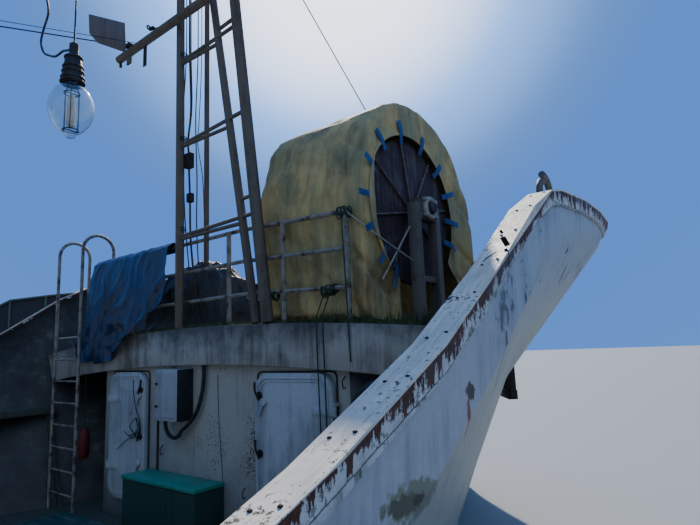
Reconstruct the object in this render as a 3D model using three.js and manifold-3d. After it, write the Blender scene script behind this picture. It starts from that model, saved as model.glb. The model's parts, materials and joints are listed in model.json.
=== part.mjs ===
// A 25 m steel fishing trawler with a raised forecastle, rebuilt as separate solids.
// Frame: millimetres, +X to the bow, +Y to port, +Z up, origin on the waterline amidships.
import * as THREE from 'three';
import Module from 'manifold-3d';
import { mergeVertices } from 'three/addons/utils/BufferGeometryUtils.js';

const wasm = await Module();
wasm.setup();

// Driving dimensions
const gap = 0.3; // seat between two solids that touch
const bowX = 12400; // stem at the gunwale
const sternX = -12300; // transom
const deckZ = 650; // main deck over the water
const foreX = 5500; // aft face of the forecastle house
const foreDeckZ = 2950; // forecastle deck, top at the centreline
const foreCamber = 250; // fall of that deck at the ship's side
const halfBeam = 3950; // at the gunwale
const plateT = 70; // side plating with its frames' flanges
const foreDeckT = 60;
const wallT = 60;
const knuckleDrop = [560, 320]; // knuckle under the gunwale, in the waist and at the bow
const bandH = 140; // doubled strake under the cap
const capT = 50;
const capIn = 170; // cap's reach inboard of the plating's outer face
const capOut = 25;

// Hull lines from the keel up. z and half amidships, x of the stem, where the bow curve starts, its two
// exponents (length, breadth), half at the transom, and how far the line has risen there.
const hullLines = [
  { name: 'keel', z: -2300, half: 160, stem: 9900, start: 2000, n: 2.0, m: 2.0, aft: 160, rise: 2150 },
  { name: 'garboard', z: -2020, half: 1750, stem: 10400, start: -2500, n: 1.4, m: 0.95, aft: 1500,
    rise: 2000 },
  { name: 'bilge', z: -1150, half: 3350, stem: 11100, start: -800, n: 1.5, m: 0.95, aft: 2700, rise: 1150 },
  { name: 'water', z: 0, half: 3780, stem: 11550, start: 500, n: 1.45, m: 1.0, aft: 3050, rise: 260 },
  { name: 'deck', z: deckZ, half: 3900, stem: 11750, start: 1200, n: 1.5, m: 1.03, aft: 3150, rise: 0 },
  { name: 'knuckle', z: null, half: 3930, stem: 12250, start: 5300, n: 2.8, m: 2.2, aft: 3230, rise: 0 },
  { name: 'gunwale', z: null, half: halfBeam, stem: bowX, start: foreX, n: 3.3, m: 2.2, aft: 3250, rise: 0 },
];
const [, , , waterLine, deckLine, knuckleLine, gunwaleLine] = hullLines;
const hollow = { depth: 270, start: 5200, full: 7500 }; // of the bow's flare, halfway from deck to knuckle
const riseStart = -4800; // where the run starts to lift
const taperStart = -3000; // where the sides start to close towards the transom

// Sheer: x and height of the gunwale's cap
const sheer = [
  [-12300, 2020], [-9000, 1820], [-4000, 1730], [0, 1710], [1600, 1750], [2400, 1930], [3200, 2235],
  [4100, 2655], [4800, 3080], [5600, 3625], [6050, 3840], [6350, 3905], [7200, 3985], [8800, 4060],
  [12400, 4380],
];
const stations = [
  -12300, -11000, -9000, -6800, -4500, -2000, 0, 1600, 2400, 3200, 4100, 4800, 5600, 6050, 6350,
  7200, 8000, 8800, 9500, 10100, 10700, 11200, 11600, 11900, 12150, 12300, 12400,
];

const clamp01 = (t) => Math.min(1, Math.max(0, t));
const mix = (a, b, t) => a + (b - a) * t;
function table(rows, x) {
  if (x <= rows[0][0]) return rows[0][1];
  for (let i = 1; i < rows.length; i++) {
    const [x0, z0] = rows[i - 1];
    const [x1, z1] = rows[i];
    if (x <= x1) return mix(z0, z1, (x - x0) / (x1 - x0));
  }
  return rows[rows.length - 1][1];
}
const sheerZ = (x) => table(sheer, x);
const knuckleZ = (x) => sheerZ(x) - mix(...knuckleDrop, clamp01((x - foreX) / 3000));
// The forecastle deck's camber as a polyline, with a knuckle every half metre
const camberStep = 500;
const camber = Array.from({ length: 9 }, (_, i) => {
  return [i * camberStep, foreDeckZ - foreCamber * ((i * camberStep) / halfBeam) ** 2];
});
const foreZ = (y) => table(camber, Math.abs(y));
// The y places of that polyline from y0 to y1
function camberYs(y0, y1) {
  const inner = [];
  for (let y = Math.ceil(y0 / camberStep) * camberStep; y < y1; y += camberStep) if (y > y0) inner.push(y);
  return [y0, ...inner, y1];
}

// The place of a station on one hull line: [x, half-breadth, z]
function linePoint(line, station) {
  const forward = clamp01((station - foreX) / (bowX - foreX));
  const x = station > foreX ? mix(foreX, line.stem, forward) : station;
  const u = clamp01((x - line.start) / (line.stem - line.start));
  const aft = clamp01((taperStart - x) / (taperStart - sternX));
  const body = mix(line.half, line.aft, aft ** 2);
  const half = Math.max(45, body * Math.max(0, 1 - u ** line.n) ** (1 / line.m));
  const lift = clamp01((riseStart - x) / (riseStart - sternX)) ** 0.9 * line.rise;
  let z = line.z;
  if (line === gunwaleLine) z = sheerZ(station);
  if (line === knuckleLine) z = knuckleZ(station);
  return [x, half, z + lift];
}

// The place of a station halfway up the flare, where it is hollow towards the bow
function flarePoint(station) {
  const [low, high] = [deckLine, knuckleLine].map((line) => linePoint(line, station));
  const [x, half, z] = low.map((value, i) => mix(value, high[i], 0.5));
  const drawn = clamp01((x - hollow.start) / (hollow.full - hollow.start)) * clamp01(half / 1400);
  return [x, half - hollow.depth * drawn, z];
}

// Half-breadth and x of the side at one station and height, on the ruled surface between two lines
function sidePoint(station, z, inset = 0) {
  const [water, deck, knuckle, rim] = [waterLine, deckLine, knuckleLine, gunwaleLine].map((line) => {
    return linePoint(line, station);
  });
  const lines = [water, deck, flarePoint(station), knuckle, rim];
  let i = 1;
  while (i < lines.length - 1 && z > lines[i][2]) i++;
  const t = (z - lines[i - 1][2]) / (lines[i][2] - lines[i - 1][2]);
  return [mix(lines[i - 1][0], lines[i][0], t), mix(lines[i - 1][1], lines[i][1], t) - inset];
}

// Shapes
const materials = new Map();
function paint(colour, roughness = 0.7, metalness = 0) {
  const key = `${colour}/${roughness}/${metalness}`;
  if (!materials.has(key)) {
    materials.set(key, new THREE.MeshStandardMaterial({ color: colour, roughness, metalness }));
  }
  return materials.get(key);
}
const white = paint(0xd9d6cc);
const cream = paint(0xd8d2c0);
const greyRail = paint(0xa9a9a4, 0.6, 0.3);
const ochre = paint(0x8a7a5c, 0.8, 0.2);
const tarpYellow = paint(0xa89b3c, 0.85);
const tarpBlue = paint(0x1d4568, 0.7);
const tarpDark = paint(0x26282a, 0.9);
const deckGreen = paint(0x2f4a44, 0.9);
const seaGreen = paint(0x3f9a86, 0.7);
const darkSteel = paint(0x55504a, 0.6, 0.5);
const bronze = paint(0xa07a3a, 0.4, 0.9);
const black = paint(0x1b1b1c, 0.6);
const hullGreen = paint(0x4c5f52, 0.8);
const glassClear = paint(0xcfd8d8, 0.1);

const object = new THREE.Group();
function piece(name, geometry, material) {
  const mesh = new THREE.Mesh(geometry, material);
  mesh.name = name;
  object.add(mesh);
  return mesh;
}
function bare(geometry) {
  const copy = geometry.index ? geometry.clone() : geometry;
  copy.deleteAttribute('normal');
  copy.deleteAttribute('uv');
  return mergeVertices(copy, 1e-3);
}
function solid(geometry) {
  const g = bare(geometry);
  return new wasm.Manifold(
    new wasm.Mesh({ numProp: 3, vertProperties: g.attributes.position.array,
      triVerts: new Uint32Array(g.index.array) }),
  );
}
function back(manifold) {
  const mesh = manifold.getMesh();
  const g = new THREE.BufferGeometry();
  g.setAttribute('position', new THREE.BufferAttribute(mesh.vertProperties.slice(), 3));
  g.setIndex(new THREE.BufferAttribute(mesh.triVerts.slice(), 1));
  return g;
}
function join(...parts) {
  return back(parts.map(solid).reduce((a, b) => a.add(b)));
}
function cut(base, ...tools) {
  return back(tools.map(solid).reduce((a, b) => a.subtract(b), solid(base)));
}
function box(x0, x1, y0, y1, z0, z1) {
  const g = new THREE.BoxGeometry(x1 - x0, y1 - y0, z1 - z0);
  return g.translate((x0 + x1) / 2, (y0 + y1) / 2, (z0 + z1) / 2);
}
// A round bar from a to b
function rod(a, b, radius, sides = 10, radiusB = radius) {
  const from = new THREE.Vector3(...a);
  const to = new THREE.Vector3(...b);
  const along = to.clone().sub(from);
  const g = new THREE.CylinderGeometry(radiusB, radius, along.length(), sides);
  const turn = new THREE.Quaternion().setFromUnitVectors(new THREE.Vector3(0, 1, 0),
    along.clone().normalize());
  return g.applyQuaternion(turn).translate(...from.add(to).multiplyScalar(0.5).toArray());
}
// A bar along a path, its corners rounded by the curve
function bar(points, radius, sides = 8, steps = 24, tension = 0.5) {
  const curve = new THREE.CatmullRomCurve3(points.map((p) => new THREE.Vector3(...p)), false, 'catmullrom',
    tension);
  const ring = new THREE.Shape();
  for (let i = 0; i < sides; i++) {
    const a = (2 * Math.PI * i) / sides;
    if (i === 0) ring.moveTo(radius * Math.cos(a), radius * Math.sin(a));
    else ring.lineTo(radius * Math.cos(a), radius * Math.sin(a));
  }
  ring.closePath();
  return new THREE.ExtrudeGeometry(ring, { steps, extrudePath: curve, bevelEnabled: false });
}
// A flat outline in the YZ plane made x0 to x1 thick, with holes
function plateX(outline, x0, x1, holes = [], curveSegments = 6) {
  const shape = new THREE.Shape(outline.map(([y, z]) => new THREE.Vector2(y, z)));
  for (const hole of holes) shape.holes.push(hole);
  const g = new THREE.ExtrudeGeometry(shape, { depth: x1 - x0, bevelEnabled: false, curveSegments });
  // shape x to world y, shape y to world z, depth to world x
  const m = new THREE.Matrix4().set(0, 0, 1, x0, 1, 0, 0, 0, 0, 1, 0, 0, 0, 0, 0, 1);
  return g.applyMatrix4(m);
}
// The same with the outline in the XZ plane, from y0 to y1
function plateY(outline, y0, y1, holes = [], curveSegments = 6) {
  const shape = new THREE.Shape(outline.map(([x, z]) => new THREE.Vector2(x, z)));
  for (const hole of holes) shape.holes.push(hole);
  const g = new THREE.ExtrudeGeometry(shape, { depth: y1 - y0, bevelEnabled: false, curveSegments });
  const m = new THREE.Matrix4().set(1, 0, 0, 0, 0, 0, -1, y1, 0, 1, 0, 0, 0, 0, 0, 1);
  return g.applyMatrix4(m);
}
function roundedRect(x0, x1, y0, y1, r, Kind = THREE.Path) {
  const p = new Kind();
  p.moveTo(x0 + r, y0);
  p.lineTo(x1 - r, y0);
  p.absarc(x1 - r, y0 + r, r, -Math.PI / 2, 0, false);
  p.lineTo(x1, y1 - r);
  p.absarc(x1 - r, y1 - r, r, 0, Math.PI / 2, false);
  p.lineTo(x0 + r, y1);
  p.absarc(x0 + r, y1 - r, r, Math.PI / 2, Math.PI, false);
  p.lineTo(x0, y0 + r);
  p.absarc(x0 + r, y0 + r, r, Math.PI, Math.PI * 1.5, false);
  return p;
}
// A solid through rings of points; every ring has the same count, its ends are closed flat
function loft(rings) {
  const count = rings[0].length;
  const positions = rings.flat(2);
  const index = [];
  for (let r = 0; r + 1 < rings.length; r++) {
    for (let i = 0; i < count; i++) {
      const j = (i + 1) % count;
      const a = r * count + i;
      const b = r * count + j;
      const c = (r + 1) * count + j;
      const d = (r + 1) * count + i;
      index.push(a, b, c, a, c, d);
    }
  }
  const flat = (ring) => {
    const p = ring.map((q) => new THREE.Vector3(...q));
    const normal = new THREE.Vector3();
    for (let i = 0; i < count; i++) {
      const a = p[i];
      const b = p[(i + 1) % count];
      normal.x += (a.y - b.y) * (a.z + b.z);
      normal.y += (a.z - b.z) * (a.x + b.x);
      normal.z += (a.x - b.x) * (a.y + b.y);
    }
    const n = normal.normalize();
    const u = new THREE.Vector3(Math.abs(n.x) > 0.9 ? 0 : 1, Math.abs(n.x) > 0.9 ? 1 : 0,
      0).cross(n).normalize();
    const v = n.clone().cross(u);
    const flatPoints = p.map((q) => new THREE.Vector2(q.dot(u), q.dot(v)));
    return THREE.ShapeUtils.triangulateShape(flatPoints, []);
  };
  for (const [a, b, c] of flat(rings[0])) index.push(c, b, a);
  const last = (rings.length - 1) * count;
  for (const [a, b, c] of flat(rings[rings.length - 1])) index.push(last + a, last + b, last + c);
  const g = new THREE.BufferGeometry();
  g.setAttribute('position', new THREE.Float32BufferAttribute(positions, 3));
  g.setIndex(index);
  return outward(g);
}
// Turns a closed geometry's faces outwards
function outward(g) {
  const p = g.attributes.position;
  const index = g.index.array;
  let volume = 0;
  const [a, b, c] = [new THREE.Vector3(), new THREE.Vector3(), new THREE.Vector3()];
  for (let i = 0; i < index.length; i += 3) {
    a.fromBufferAttribute(p, index[i]);
    b.fromBufferAttribute(p, index[i + 1]);
    c.fromBufferAttribute(p, index[i + 2]);
    volume += a.dot(b.cross(c));
  }
  if (volume < 0) {
    for (let i = 0; i < index.length; i += 3) [index[i], index[i + 1]] = [index[i + 1], index[i]];
  }
  return g;
}
const mirrored = (g) => outward(bare(g).applyMatrix4(new THREE.Matrix4().makeScale(1, -1, 1)));

// Hull: solid from the keel to the main deck
let hullBody;
{
  const rings = stations.map((station) => {
    const side = hullLines.slice(0, 5).map((line) => linePoint(line, station));
    const port = side.map(([x, half, z]) => [x, half, z]);
    const starboard = side.map(([x, half, z]) => [x, -half, z]).reverse();
    return [...port, ...starboard];
  });
  hullBody = loft(rings);
}

// Keel bar and skeg with the sole piece under the propeller
const keelHalf = 110;
const shaftZ = -1600;
const postX = -9400; // stern post, forward end of the propeller's aperture
const propX = -9950;
const rudderX = -10950;
const keelZ = -2600;
const soleTopZ = -2440;
const keelRows = stations.map((station) => linePoint(hullLines[0], station)).map(([x, , z]) => [x, z]);
const bottomZ = (x) => table(keelRows, x);
{
  const top = [9300, -4500, -6800, -9000, postX].map((x) => [x, bottomZ(x) + 40]);
  const outline = [[postX, soleTopZ], [-11250, soleTopZ], [-11250, -2570], [-8500, keelZ], [7800, keelZ],
    [9300, -2440]];
  const keel = plateY([...top, ...outline], -keelHalf, keelHalf);
  const sternTube = rod([postX + 200, 0, shaftZ], [propX + 310, 0, shaftZ], 170, 14, 130);
  piece('hull', join(hullBody, keel, sternTube), hullGreen);
}

// Propeller: hub and four blades
const bladeCount = 4;
const propR = 690;
{
  const parts = [rod([propX + 310 - gap, 0, shaftZ], [propX - 260, 0, shaftZ], 150, 14, 110)];
  for (let i = 0; i < bladeCount; i++) {
    const blade = new THREE.SphereGeometry(1, 8, 6);
    blade.scale(38, 240, (propR - 90) / 2);
    blade.rotateZ(0.55);
    blade.translate(0, 0, (propR + 90) / 2);
    blade.rotateX((2 * Math.PI * i) / bladeCount + Math.PI / 4);
    blade.translate(propX, 0, shaftZ);
    parts.push(blade);
  }
  piece('propeller', join(...parts), bronze);
}

// Rudder: a plate on its stock, its heel over the sole piece
{
  const low = -2420;
  const blade = plateY([[rudderX + 250, low], [rudderX + 250, -700], [rudderX - 900, -560],
    [rudderX - 900, low + 90], [rudderX - 760, low]], -55, 55);
  const stock = rod([rudderX, 0, soleTopZ + gap], [rudderX, 0, bottomZ(rudderX) - 32], 80, 12);
  piece('rudder', join(blade, stock), hullGreen);
}

// Inner face of the side at a station and height, moved inboard by inset
function sideInner(station, z, inset = plateT) {
  const [ax, ay] = sidePoint(station - 40, z);
  const [bx, by] = sidePoint(Math.min(bowX, station + 40), z);
  const length = Math.hypot(bx - ax, by - ay);
  const [x, y] = sidePoint(station, z);
  return [x + ((by - ay) / length) * inset, Math.max(y - ((bx - ax) / length) * inset, 0.2)];
}

// The same at any x, on the straight plates between two stations
function insideAt(x, z, inset = plateT) {
  let i = 1;
  while (i < stations.length - 1 && x > stations[i]) i++;
  const [x0, y0] = sideInner(stations[i - 1], z, inset);
  const [x1, y1] = sideInner(stations[i], z, inset);
  return mix(y0, y1, (x - x0) / (x1 - x0));
}

// Frames inside the bulwark of one side
function bulwarkFrames(sign) {
  const stays = [-11200, -9600, -7400, -5900, -4000, -2600, -700, 700, 2000].map((x) => {
    const [foot, bend, top] = [deckZ + gap, knuckleZ(x), sheerZ(x) - capT - 10];
    const [low, mid, head] = [foot + 5, bend, top].map((z) => insideAt(x, z, plateT - 15));
    const outline = [[low, foot], [low - 300, foot], [low - 300, deckZ + 60], [head - 60, top], [head, top],
      [mid, bend]];
    return plateX(outline.map(([y, z]) => [sign * y, z]), x, x + 20);
  });
  return stays;
}

// Side plating above the main deck, from the transom to the stem, and the freeing ports cut in it
const freeingPorts = [-8600, -5200, -1800, 900].map((x) => [x, 700]);
function sideLoft(sign, depth) {
  const ring = (station) => {
    const top = sheerZ(station);
    const heights = [deckZ + gap, flarePoint(station)[2], knuckleZ(station), top - bandH, top - capT - gap];
    const at = (inset) => heights.map((z) => [...sideInner(station, z, inset), z]);
    return [...at(0), ...at(depth).reverse()];
  };
  return loft(stations.map(ring).map((r) => r.map(([x, y, z]) => [x, sign * y, z])));
}
function sidePlating(sign) {
  const g = sideLoft(sign, plateT);
  const tools = freeingPorts.map(([x, w]) => box(x, x + w, sign > 0 ? 3000 : -4200, sign > 0 ? 4200 : -3000,
    deckZ + 60, deckZ + 330));
  return join(cut(g, ...tools), ...bulwarkFrames(sign));
}
piece('side_plating_starboard', sidePlating(-1), white);
piece('side_plating_port', sidePlating(1), white);

// Bulwark across the transom
{
  const [, half] = sidePoint(sternX, deckZ);
  const top = sheerZ(sternX + plateT) - capT - gap;
  const lower = half - plateT - 3;
  const upper = linePoint(gunwaleLine, sternX)[1] - plateT - 3;
  const outline = [[-lower, deckZ + gap], [lower, deckZ + gap], [upper, top], [-upper, top]];
  piece('transom_bulwark', plateX(outline, sternX, sternX + plateT), white);
}

// Gunwale: a cap bolted over the plating, and the doubled strake under it
const bandSeat = 6; // room for the weld between the plating and the doubled strake
function gunwale(sign) {
  const ring = (station) => {
    const z = sheerZ(station);
    const at = (height, out) => {
      const [x, y] = sideInner(station, height, -out);
      return [x, sign * y, height];
    };
    return [at(z, -capIn), at(z, capOut), at(z - bandH, capOut), at(z - bandH, bandSeat), at(z - capT,
      bandSeat),
      at(z - capT, -capIn)];
  };
  return join(loft(stations.map(ring)), fairlead(sign));
}
{
  const z = sheerZ(sternX);
  const half = linePoint(gunwaleLine, sternX)[1];
  const edge = box(sternX - capOut, sternX - 2, -half - 1, half + 1, z - bandH, z);
  const top = box(sternX - 3, sternX + capIn, -half + capIn + 2, half - capIn - 2, z - capT, z);
  piece('gunwale_stern', join(edge, top), cream);
}

// Mooring bitts: two posts with a crossbar on a base plate
function bitts(x, y, z) {
  const base = box(x - 320, x + 320, y - 130, y + 130, z, z + 25);
  const posts = [-170, 170].map((dx) => rod([x + dx, y, z + 20], [x + dx, y, z + 430], 75, 8));
  const caps = [-170, 170].map((dx) => rod([x + dx, y, z + 425], [x + dx, y, z + 450], 95, 8));
  const crossbar = rod([x - 300, y, z + 270], [x + 300, y, z + 270], 35, 6);
  return join(base, ...posts, ...caps, crossbar);
}

// Open fairleads: two horns bent towards each other on a base, on the cap where the sheer levels
const fairleadX = 6480;
const hornR = 26;
function fairlead(sign) {
  const y = sign * 3790;
  const z = sheerZ(fairleadX);
  const base = box(fairleadX - 210, fairleadX + 210, y - 60, y + 60, z - 20, z + 24);
  const horn = (x, reach, height) => bar([[x, y, z + 10], [x + reach * 0.1, y, z + height * 0.45],
    [x + reach * 0.45, y, z + height * 0.85], [x + reach, y, z + height]], hornR, 6, 6);
  return join(base, horn(fairleadX - 150, 110, 120), horn(fairleadX + 140, -190, 190));
}
piece('gunwale_starboard', gunwale(-1), cream);

// Weather plate standing on the port cap abreast of the forecastle house
{
  const top = [[4560, 3380], [4740, 3490], [4893, 3586], [5460, 3692], [5850, 3748]];
  const foot = [5850, 5600, 4800, 4300].map((x) => [x, sheerZ(x) - capT / 2]);
  piece('gunwale_port', join(gunwale(1), plateY([...top, ...foot], 3850, 3862)), cream);
}

// Forecastle deck with its camber, and the deep beam across its aft edge
{
  const seat = 22; // room for the waterway bar along the ship's side
  const rows = stations.filter((station) => station > foreX && station <= 12150);
  const edge = rows.map((station) => sideInner(station, foreZ(halfBeam) - foreDeckT, plateT + seat));
  edge[0] = [foreX + gap, edge[0][1]];
  const plan = new THREE.Shape([...edge, ...edge.map(([x, y]) => [x,
    -y]).reverse()].map((q) => new THREE.Vector2(...q)));
  const prism = new THREE.ExtrudeGeometry(plan, { depth: 2000, bevelEnabled: false }).translate(0, 0, 2000);
  const ys = camberYs(-halfBeam, halfBeam);
  const outline = [...ys.map((y) => [y, foreZ(y)]), ...ys.map((y) => [y, foreZ(y) - foreDeckT]).reverse()];
  const slab = solid(plateX(outline, foreX + gap, bowX));
  const bittsAt = (y) => bitts(8300, y, foreZ(2570) - 45);
  const plate = back(slab.intersect(solid(prism)));
  piece('forecastle_deck', join(plate, bittsAt(2700), bittsAt(-2700)), paint(0x6d7064, 0.9));
}
const fasciaT = 80;
const fasciaDepth = 420;
{
  const half = insideAt(foreX, foreDeckZ - foreCamber, plateT + 6);
  const low = insideAt(foreX, foreDeckZ - foreCamber - fasciaDepth, plateT + 6);
  const top = camberYs(-half, half).map((y) => [y, foreZ(y)]);
  const bottom = camberYs(-low, low).map((y) => [y, foreZ(y) - fasciaDepth]).reverse();
  piece('deck_fascia', plateX([...top, ...bottom], foreX - fasciaT, foreX - gap), white);
}

// Forecastle house under that deck: aft wall with two doorways, side walls and a forward wall
const houseY = [-2250, 2000];
const houseFrontX = 6700;
const under = (y) => foreZ(y) - foreDeckT - gap;
const doors = [
  { name: 'port', y0: 930, y1: 1780, z0: 905, z1: 2455, hinge: 1 },
  { name: 'starboard', y0: -2100, y1: -1080, z0: 905, z1: 2435, hinge: -1 },
];
const doorLap = 45;
const leafT = 54;
const leafX = foreX - 10 - leafT;
const hingeOff = 26; // hinge pin outside the leaf's edge
const pinR = 11;
const barrelH = 90;
const hingeZs = (d) => [0.24, 0.78].map((t) => mix(d.z0, d.z1, t));
// Lugs that stand out of a wall and carry a leaf's barrels from above; x or y is the wall's axis
const lugT = 30;
const lugsX = (x, wallX, y, zs) => zs.map((z) => {
  const low = z + barrelH / 2 + gap;
  return box(x - pinR, wallX, y - pinR, y + pinR, low, low + lugT);
});
const lugsY = (y, wallY, x, zs) => zs.map((z) => {
  const low = z + barrelH / 2 + gap;
  const [a, b] = y < wallY ? [y - pinR, wallY] : [wallY, y + pinR];
  return box(x - pinR, x + pinR, a, b, low, low + lugT);
});
const barrels = (x, y, zs) => zs.map((z) => rod([x, y, z - barrelH / 2], [x, y, z + barrelH / 2], pinR + 3,
  8));
const hingeYOf = (d) => (d.hinge > 0 ? d.y1 + hingeOff : d.y0 - hingeOff);
{
  const ys = camberYs(...houseY).reverse();
  const outline = [[houseY[0], deckZ + gap], [houseY[1], deckZ + gap], ...ys.map((y) => [y, under(y)])];
  const holes = doors.map((d) => roundedRect(d.y0 + doorLap, d.y1 - doorLap, d.z0 + doorLap,
    d.z1 - doorLap, 150));
  const lugs = doors.map((d) => lugsX(leafX, foreX + 5, hingeYOf(d), hingeZs(d))).flat();
  piece('house_aft_wall', join(plateX(outline, foreX, foreX + wallT, holes, 5), ...lugs), white);
  const x0 = foreX + wallT + gap;
  const side = (y0, y1) => box(x0, houseFrontX, y0, y1, deckZ + gap, Math.min(under(y0), under(y1)));
  const front = plateX(outline, houseFrontX - wallT, houseFrontX);
  piece('house_shell', join(side(houseY[0], houseY[0] + wallT), side(houseY[1] - wallT, houseY[1]), front),
    white);
}

// Weathertight doors: a rounded leaf with hinge straps and dog levers, opening aft
for (const d of doors) {
  const shape = roundedRect(d.y0, d.y1, d.z0, d.z1, 190, THREE.Shape);
  const leaf = new THREE.ExtrudeGeometry(shape, { depth: leafT, bevelEnabled: false, curveSegments: 5 });
  leaf.applyMatrix4(new THREE.Matrix4().set(0, 0, 1, leafX, 1, 0, 0, 0, 0, 1, 0, 0, 0, 0, 0, 1));
  const hingeY = hingeYOf(d);
  const inner = hingeY - d.hinge * 260;
  const straps = hingeZs(d).map((z) => {
    return box(leafX - 12, leafX + 6, Math.min(hingeY, inner), Math.max(hingeY, inner), z - 35, z + 35);
  });
  const dogs = [0.3, 0.82].map((t) => {
    const y = mix(d.y0, d.y1, d.hinge > 0 ? 0.12 : 0.86);
    const z = mix(d.z0, d.z1, t);
    const boss = rod([leafX + 2, y, z], [leafX - 28, y, z], 40, 8);
    return join(boss, rod([leafX - 20, y, z], [leafX - 20, y + 60, z - 130], 12, 6));
  });
  piece(`house_door_${d.name}`, join(leaf, ...straps, ...barrels(leafX, hingeY, hingeZs(d)), ...dogs), white);
}

// Fittings on the aft wall: a switch box, and a hose that hangs from the deck beam to its underside
const boxDepth = 215;
piece('switch_box', box(foreX - gap - boxDepth, foreX - gap, 30, 470, 1920, 2490), paint(0xc9c6bb, 0.6));
const hose = { r: 22, bend: 176, x: 5400, y: 254, z: 1901, inX: 5460, inY: -215 };
{
  const turn = [0, -30, -60, -90, -120, -150].map((a) => {
    const t = (a * Math.PI) / 180;
    return [hose.x, hose.y + hose.bend * Math.cos(t), hose.z + hose.bend * Math.sin(t)];
  });
  const underFascia = foreZ(hose.inY) - fasciaDepth - gap;
  const route = [[hose.x, 430, 1920 - gap], ...turn, [5415, 20, 1870], [5440, -110, 2010], [5455, -190, 2220],
    [hose.inX, hose.inY, 2400], [hose.inX, hose.inY, underFascia]];
  piece('wall_hose', bar(route, hose.r, 8, 30), black);
}

// Swan-neck vent beside the forecastle house: a flanged pipe bent over with its mouth down
{
  const vent = { x: 5400, y: -2680, z: 2000, bend: 350, r: 45, mouthZ: 1850 };
  const arc = [180, 157, 135, 112, 90, 68, 45, 23, 0].map((a) => {
    const t = (a * Math.PI) / 180;
    return [vent.x, vent.y - vent.bend * Math.cos(t), vent.z + vent.bend * Math.sin(t)];
  });
  const side = vent.y + vent.bend;
  const pipe = bar([[vent.x, side, deckZ + 8], [vent.x, side, 1300], ...arc, [vent.x, vent.y - vent.bend,
    vent.mouthZ]],
    vent.r, 8, 26);
  const flange = rod([vent.x, side, deckZ + gap], [vent.x, side, deckZ + 14], 110, 12);
  piece('vent_pipe', join(pipe, flange), black);
}

// Locker bench against the aft wall, with a lifting lid
const bench = { x0: 5130, x1: 5492, y0: -520, y1: 850, top: 1320, lid: 45 };
{
  const outer = box(bench.x0, bench.x1, bench.y0, bench.y1, deckZ + gap, bench.top - bench.lid - gap);
  const hollow = box(bench.x0 + 30, bench.x1 - 30, bench.y0 + 30, bench.y1 - 30, deckZ + 60, bench.top);
  piece('locker', cut(outer, hollow), seaGreen);
  const lid = box(bench.x0 - 15, bench.x1 - 6, bench.y0 - 12, bench.y1 + 12, bench.top - bench.lid,
    bench.top);
  piece('locker_lid', lid, seaGreen);
}

// Deck boards laid over the well deck
{
  const [x0, pitch, count] = [4080, 168, 6];
  const parts = [];
  for (let i = 0; i < count; i++) {
    parts.push(box(x0 + i * pitch, x0 + i * pitch + 160, -1500, 2100, deckZ + 50, deckZ + 100));
  }
  for (const y of [-1300, 400, 1900]) {
    parts.push(box(x0, x0 + count * pitch - 8, y - 40, y + 40, deckZ + gap, deckZ + 51));
  }
  piece('deck_boards', join(...parts), deckGreen);
}

// Fish shelf along the port bulwark on its brackets
{
  const rows = [3200, 4100, 4800, 5410];
  const [z0, z1, innerY] = [1880, 1980, 3210];
  const ring = (x) => {
    const y = Math.min(insideAt(x, z0, plateT + 8), insideAt(x, z1, plateT + 8));
    return [[x, y, z0], [x, y, z1], [x, innerY, z1], [x, innerY, z0]];
  };
  const brackets = [3320, 4300, 5290].map((x) => {
    const [foot, head] = [deckZ + gap, z0 + 5].map((z) => insideAt(x, z, plateT + 40));
    const inner = Math.min(innerY + 10, head - 60);
    const outline = [[foot, deckZ + gap], [head, z0 + 5], [inner, z0 + 5], [inner, z0 - 100],
      [foot - 80, deckZ + gap]];
    return plateX(outline, x, x + 50);
  });
  piece('fish_shelf', join(loft(rows.map(ring)), ...brackets), hullGreen);
}

// Pipe railing along the forecastle deck's aft edge
const standing = (y, r) => foreZ(Math.max(0, Math.abs(y) - r)) + gap; // foot of a round bar on the camber
const railX = 5540;
const railR = 22;
{
  const ends = [-2250, 2095];
  const at = (y, height) => [railX, y, foreZ(y) + height];
  const rail = (height) => bar([ends[0], -1000, 400, ends[1]].map((y) => at(y, height)), railR, 6, 3, 0);
  const posts = [-2250, -1420, -560, 400, 1400, 2095].map((y) => {
    return rod([railX, y, standing(y, railR + 4)], at(y, 1050), railR + 4, 6);
  });
  piece('forecastle_railing', join(rail(1040), rail(690), rail(330), ...posts), greyRail);
}

// Ladder from the well deck with its two hoops over the deck edge
{
  const ladder = { x: 5180, y0: 2150, y1: 2870, r: 22, reach: 440 };
  const { x, r, reach } = ladder;
  const sides = [ladder.y0, ladder.y1].map((y) => bar([[x, y, deckZ + gap], [x, y, 2400], [x, y, 3300], [x,
    y, 4050],
    [x + 70, y, 4290], [x + reach / 2, y, 4380], [x + reach - 70, y, 4290], [x + reach, y, 4050],
    [x + reach, y, 3500], [x + reach, y, standing(y, r)]], r, 6, 26));
  const rungs = [];
  for (let z = 880; z <= 3000; z += 295) rungs.push(rod([x, ladder.y0, z], [x, ladder.y1, z], 14, 6));
  piece('hoop_ladder', join(...sides, ...rungs), greyRail);
}

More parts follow.
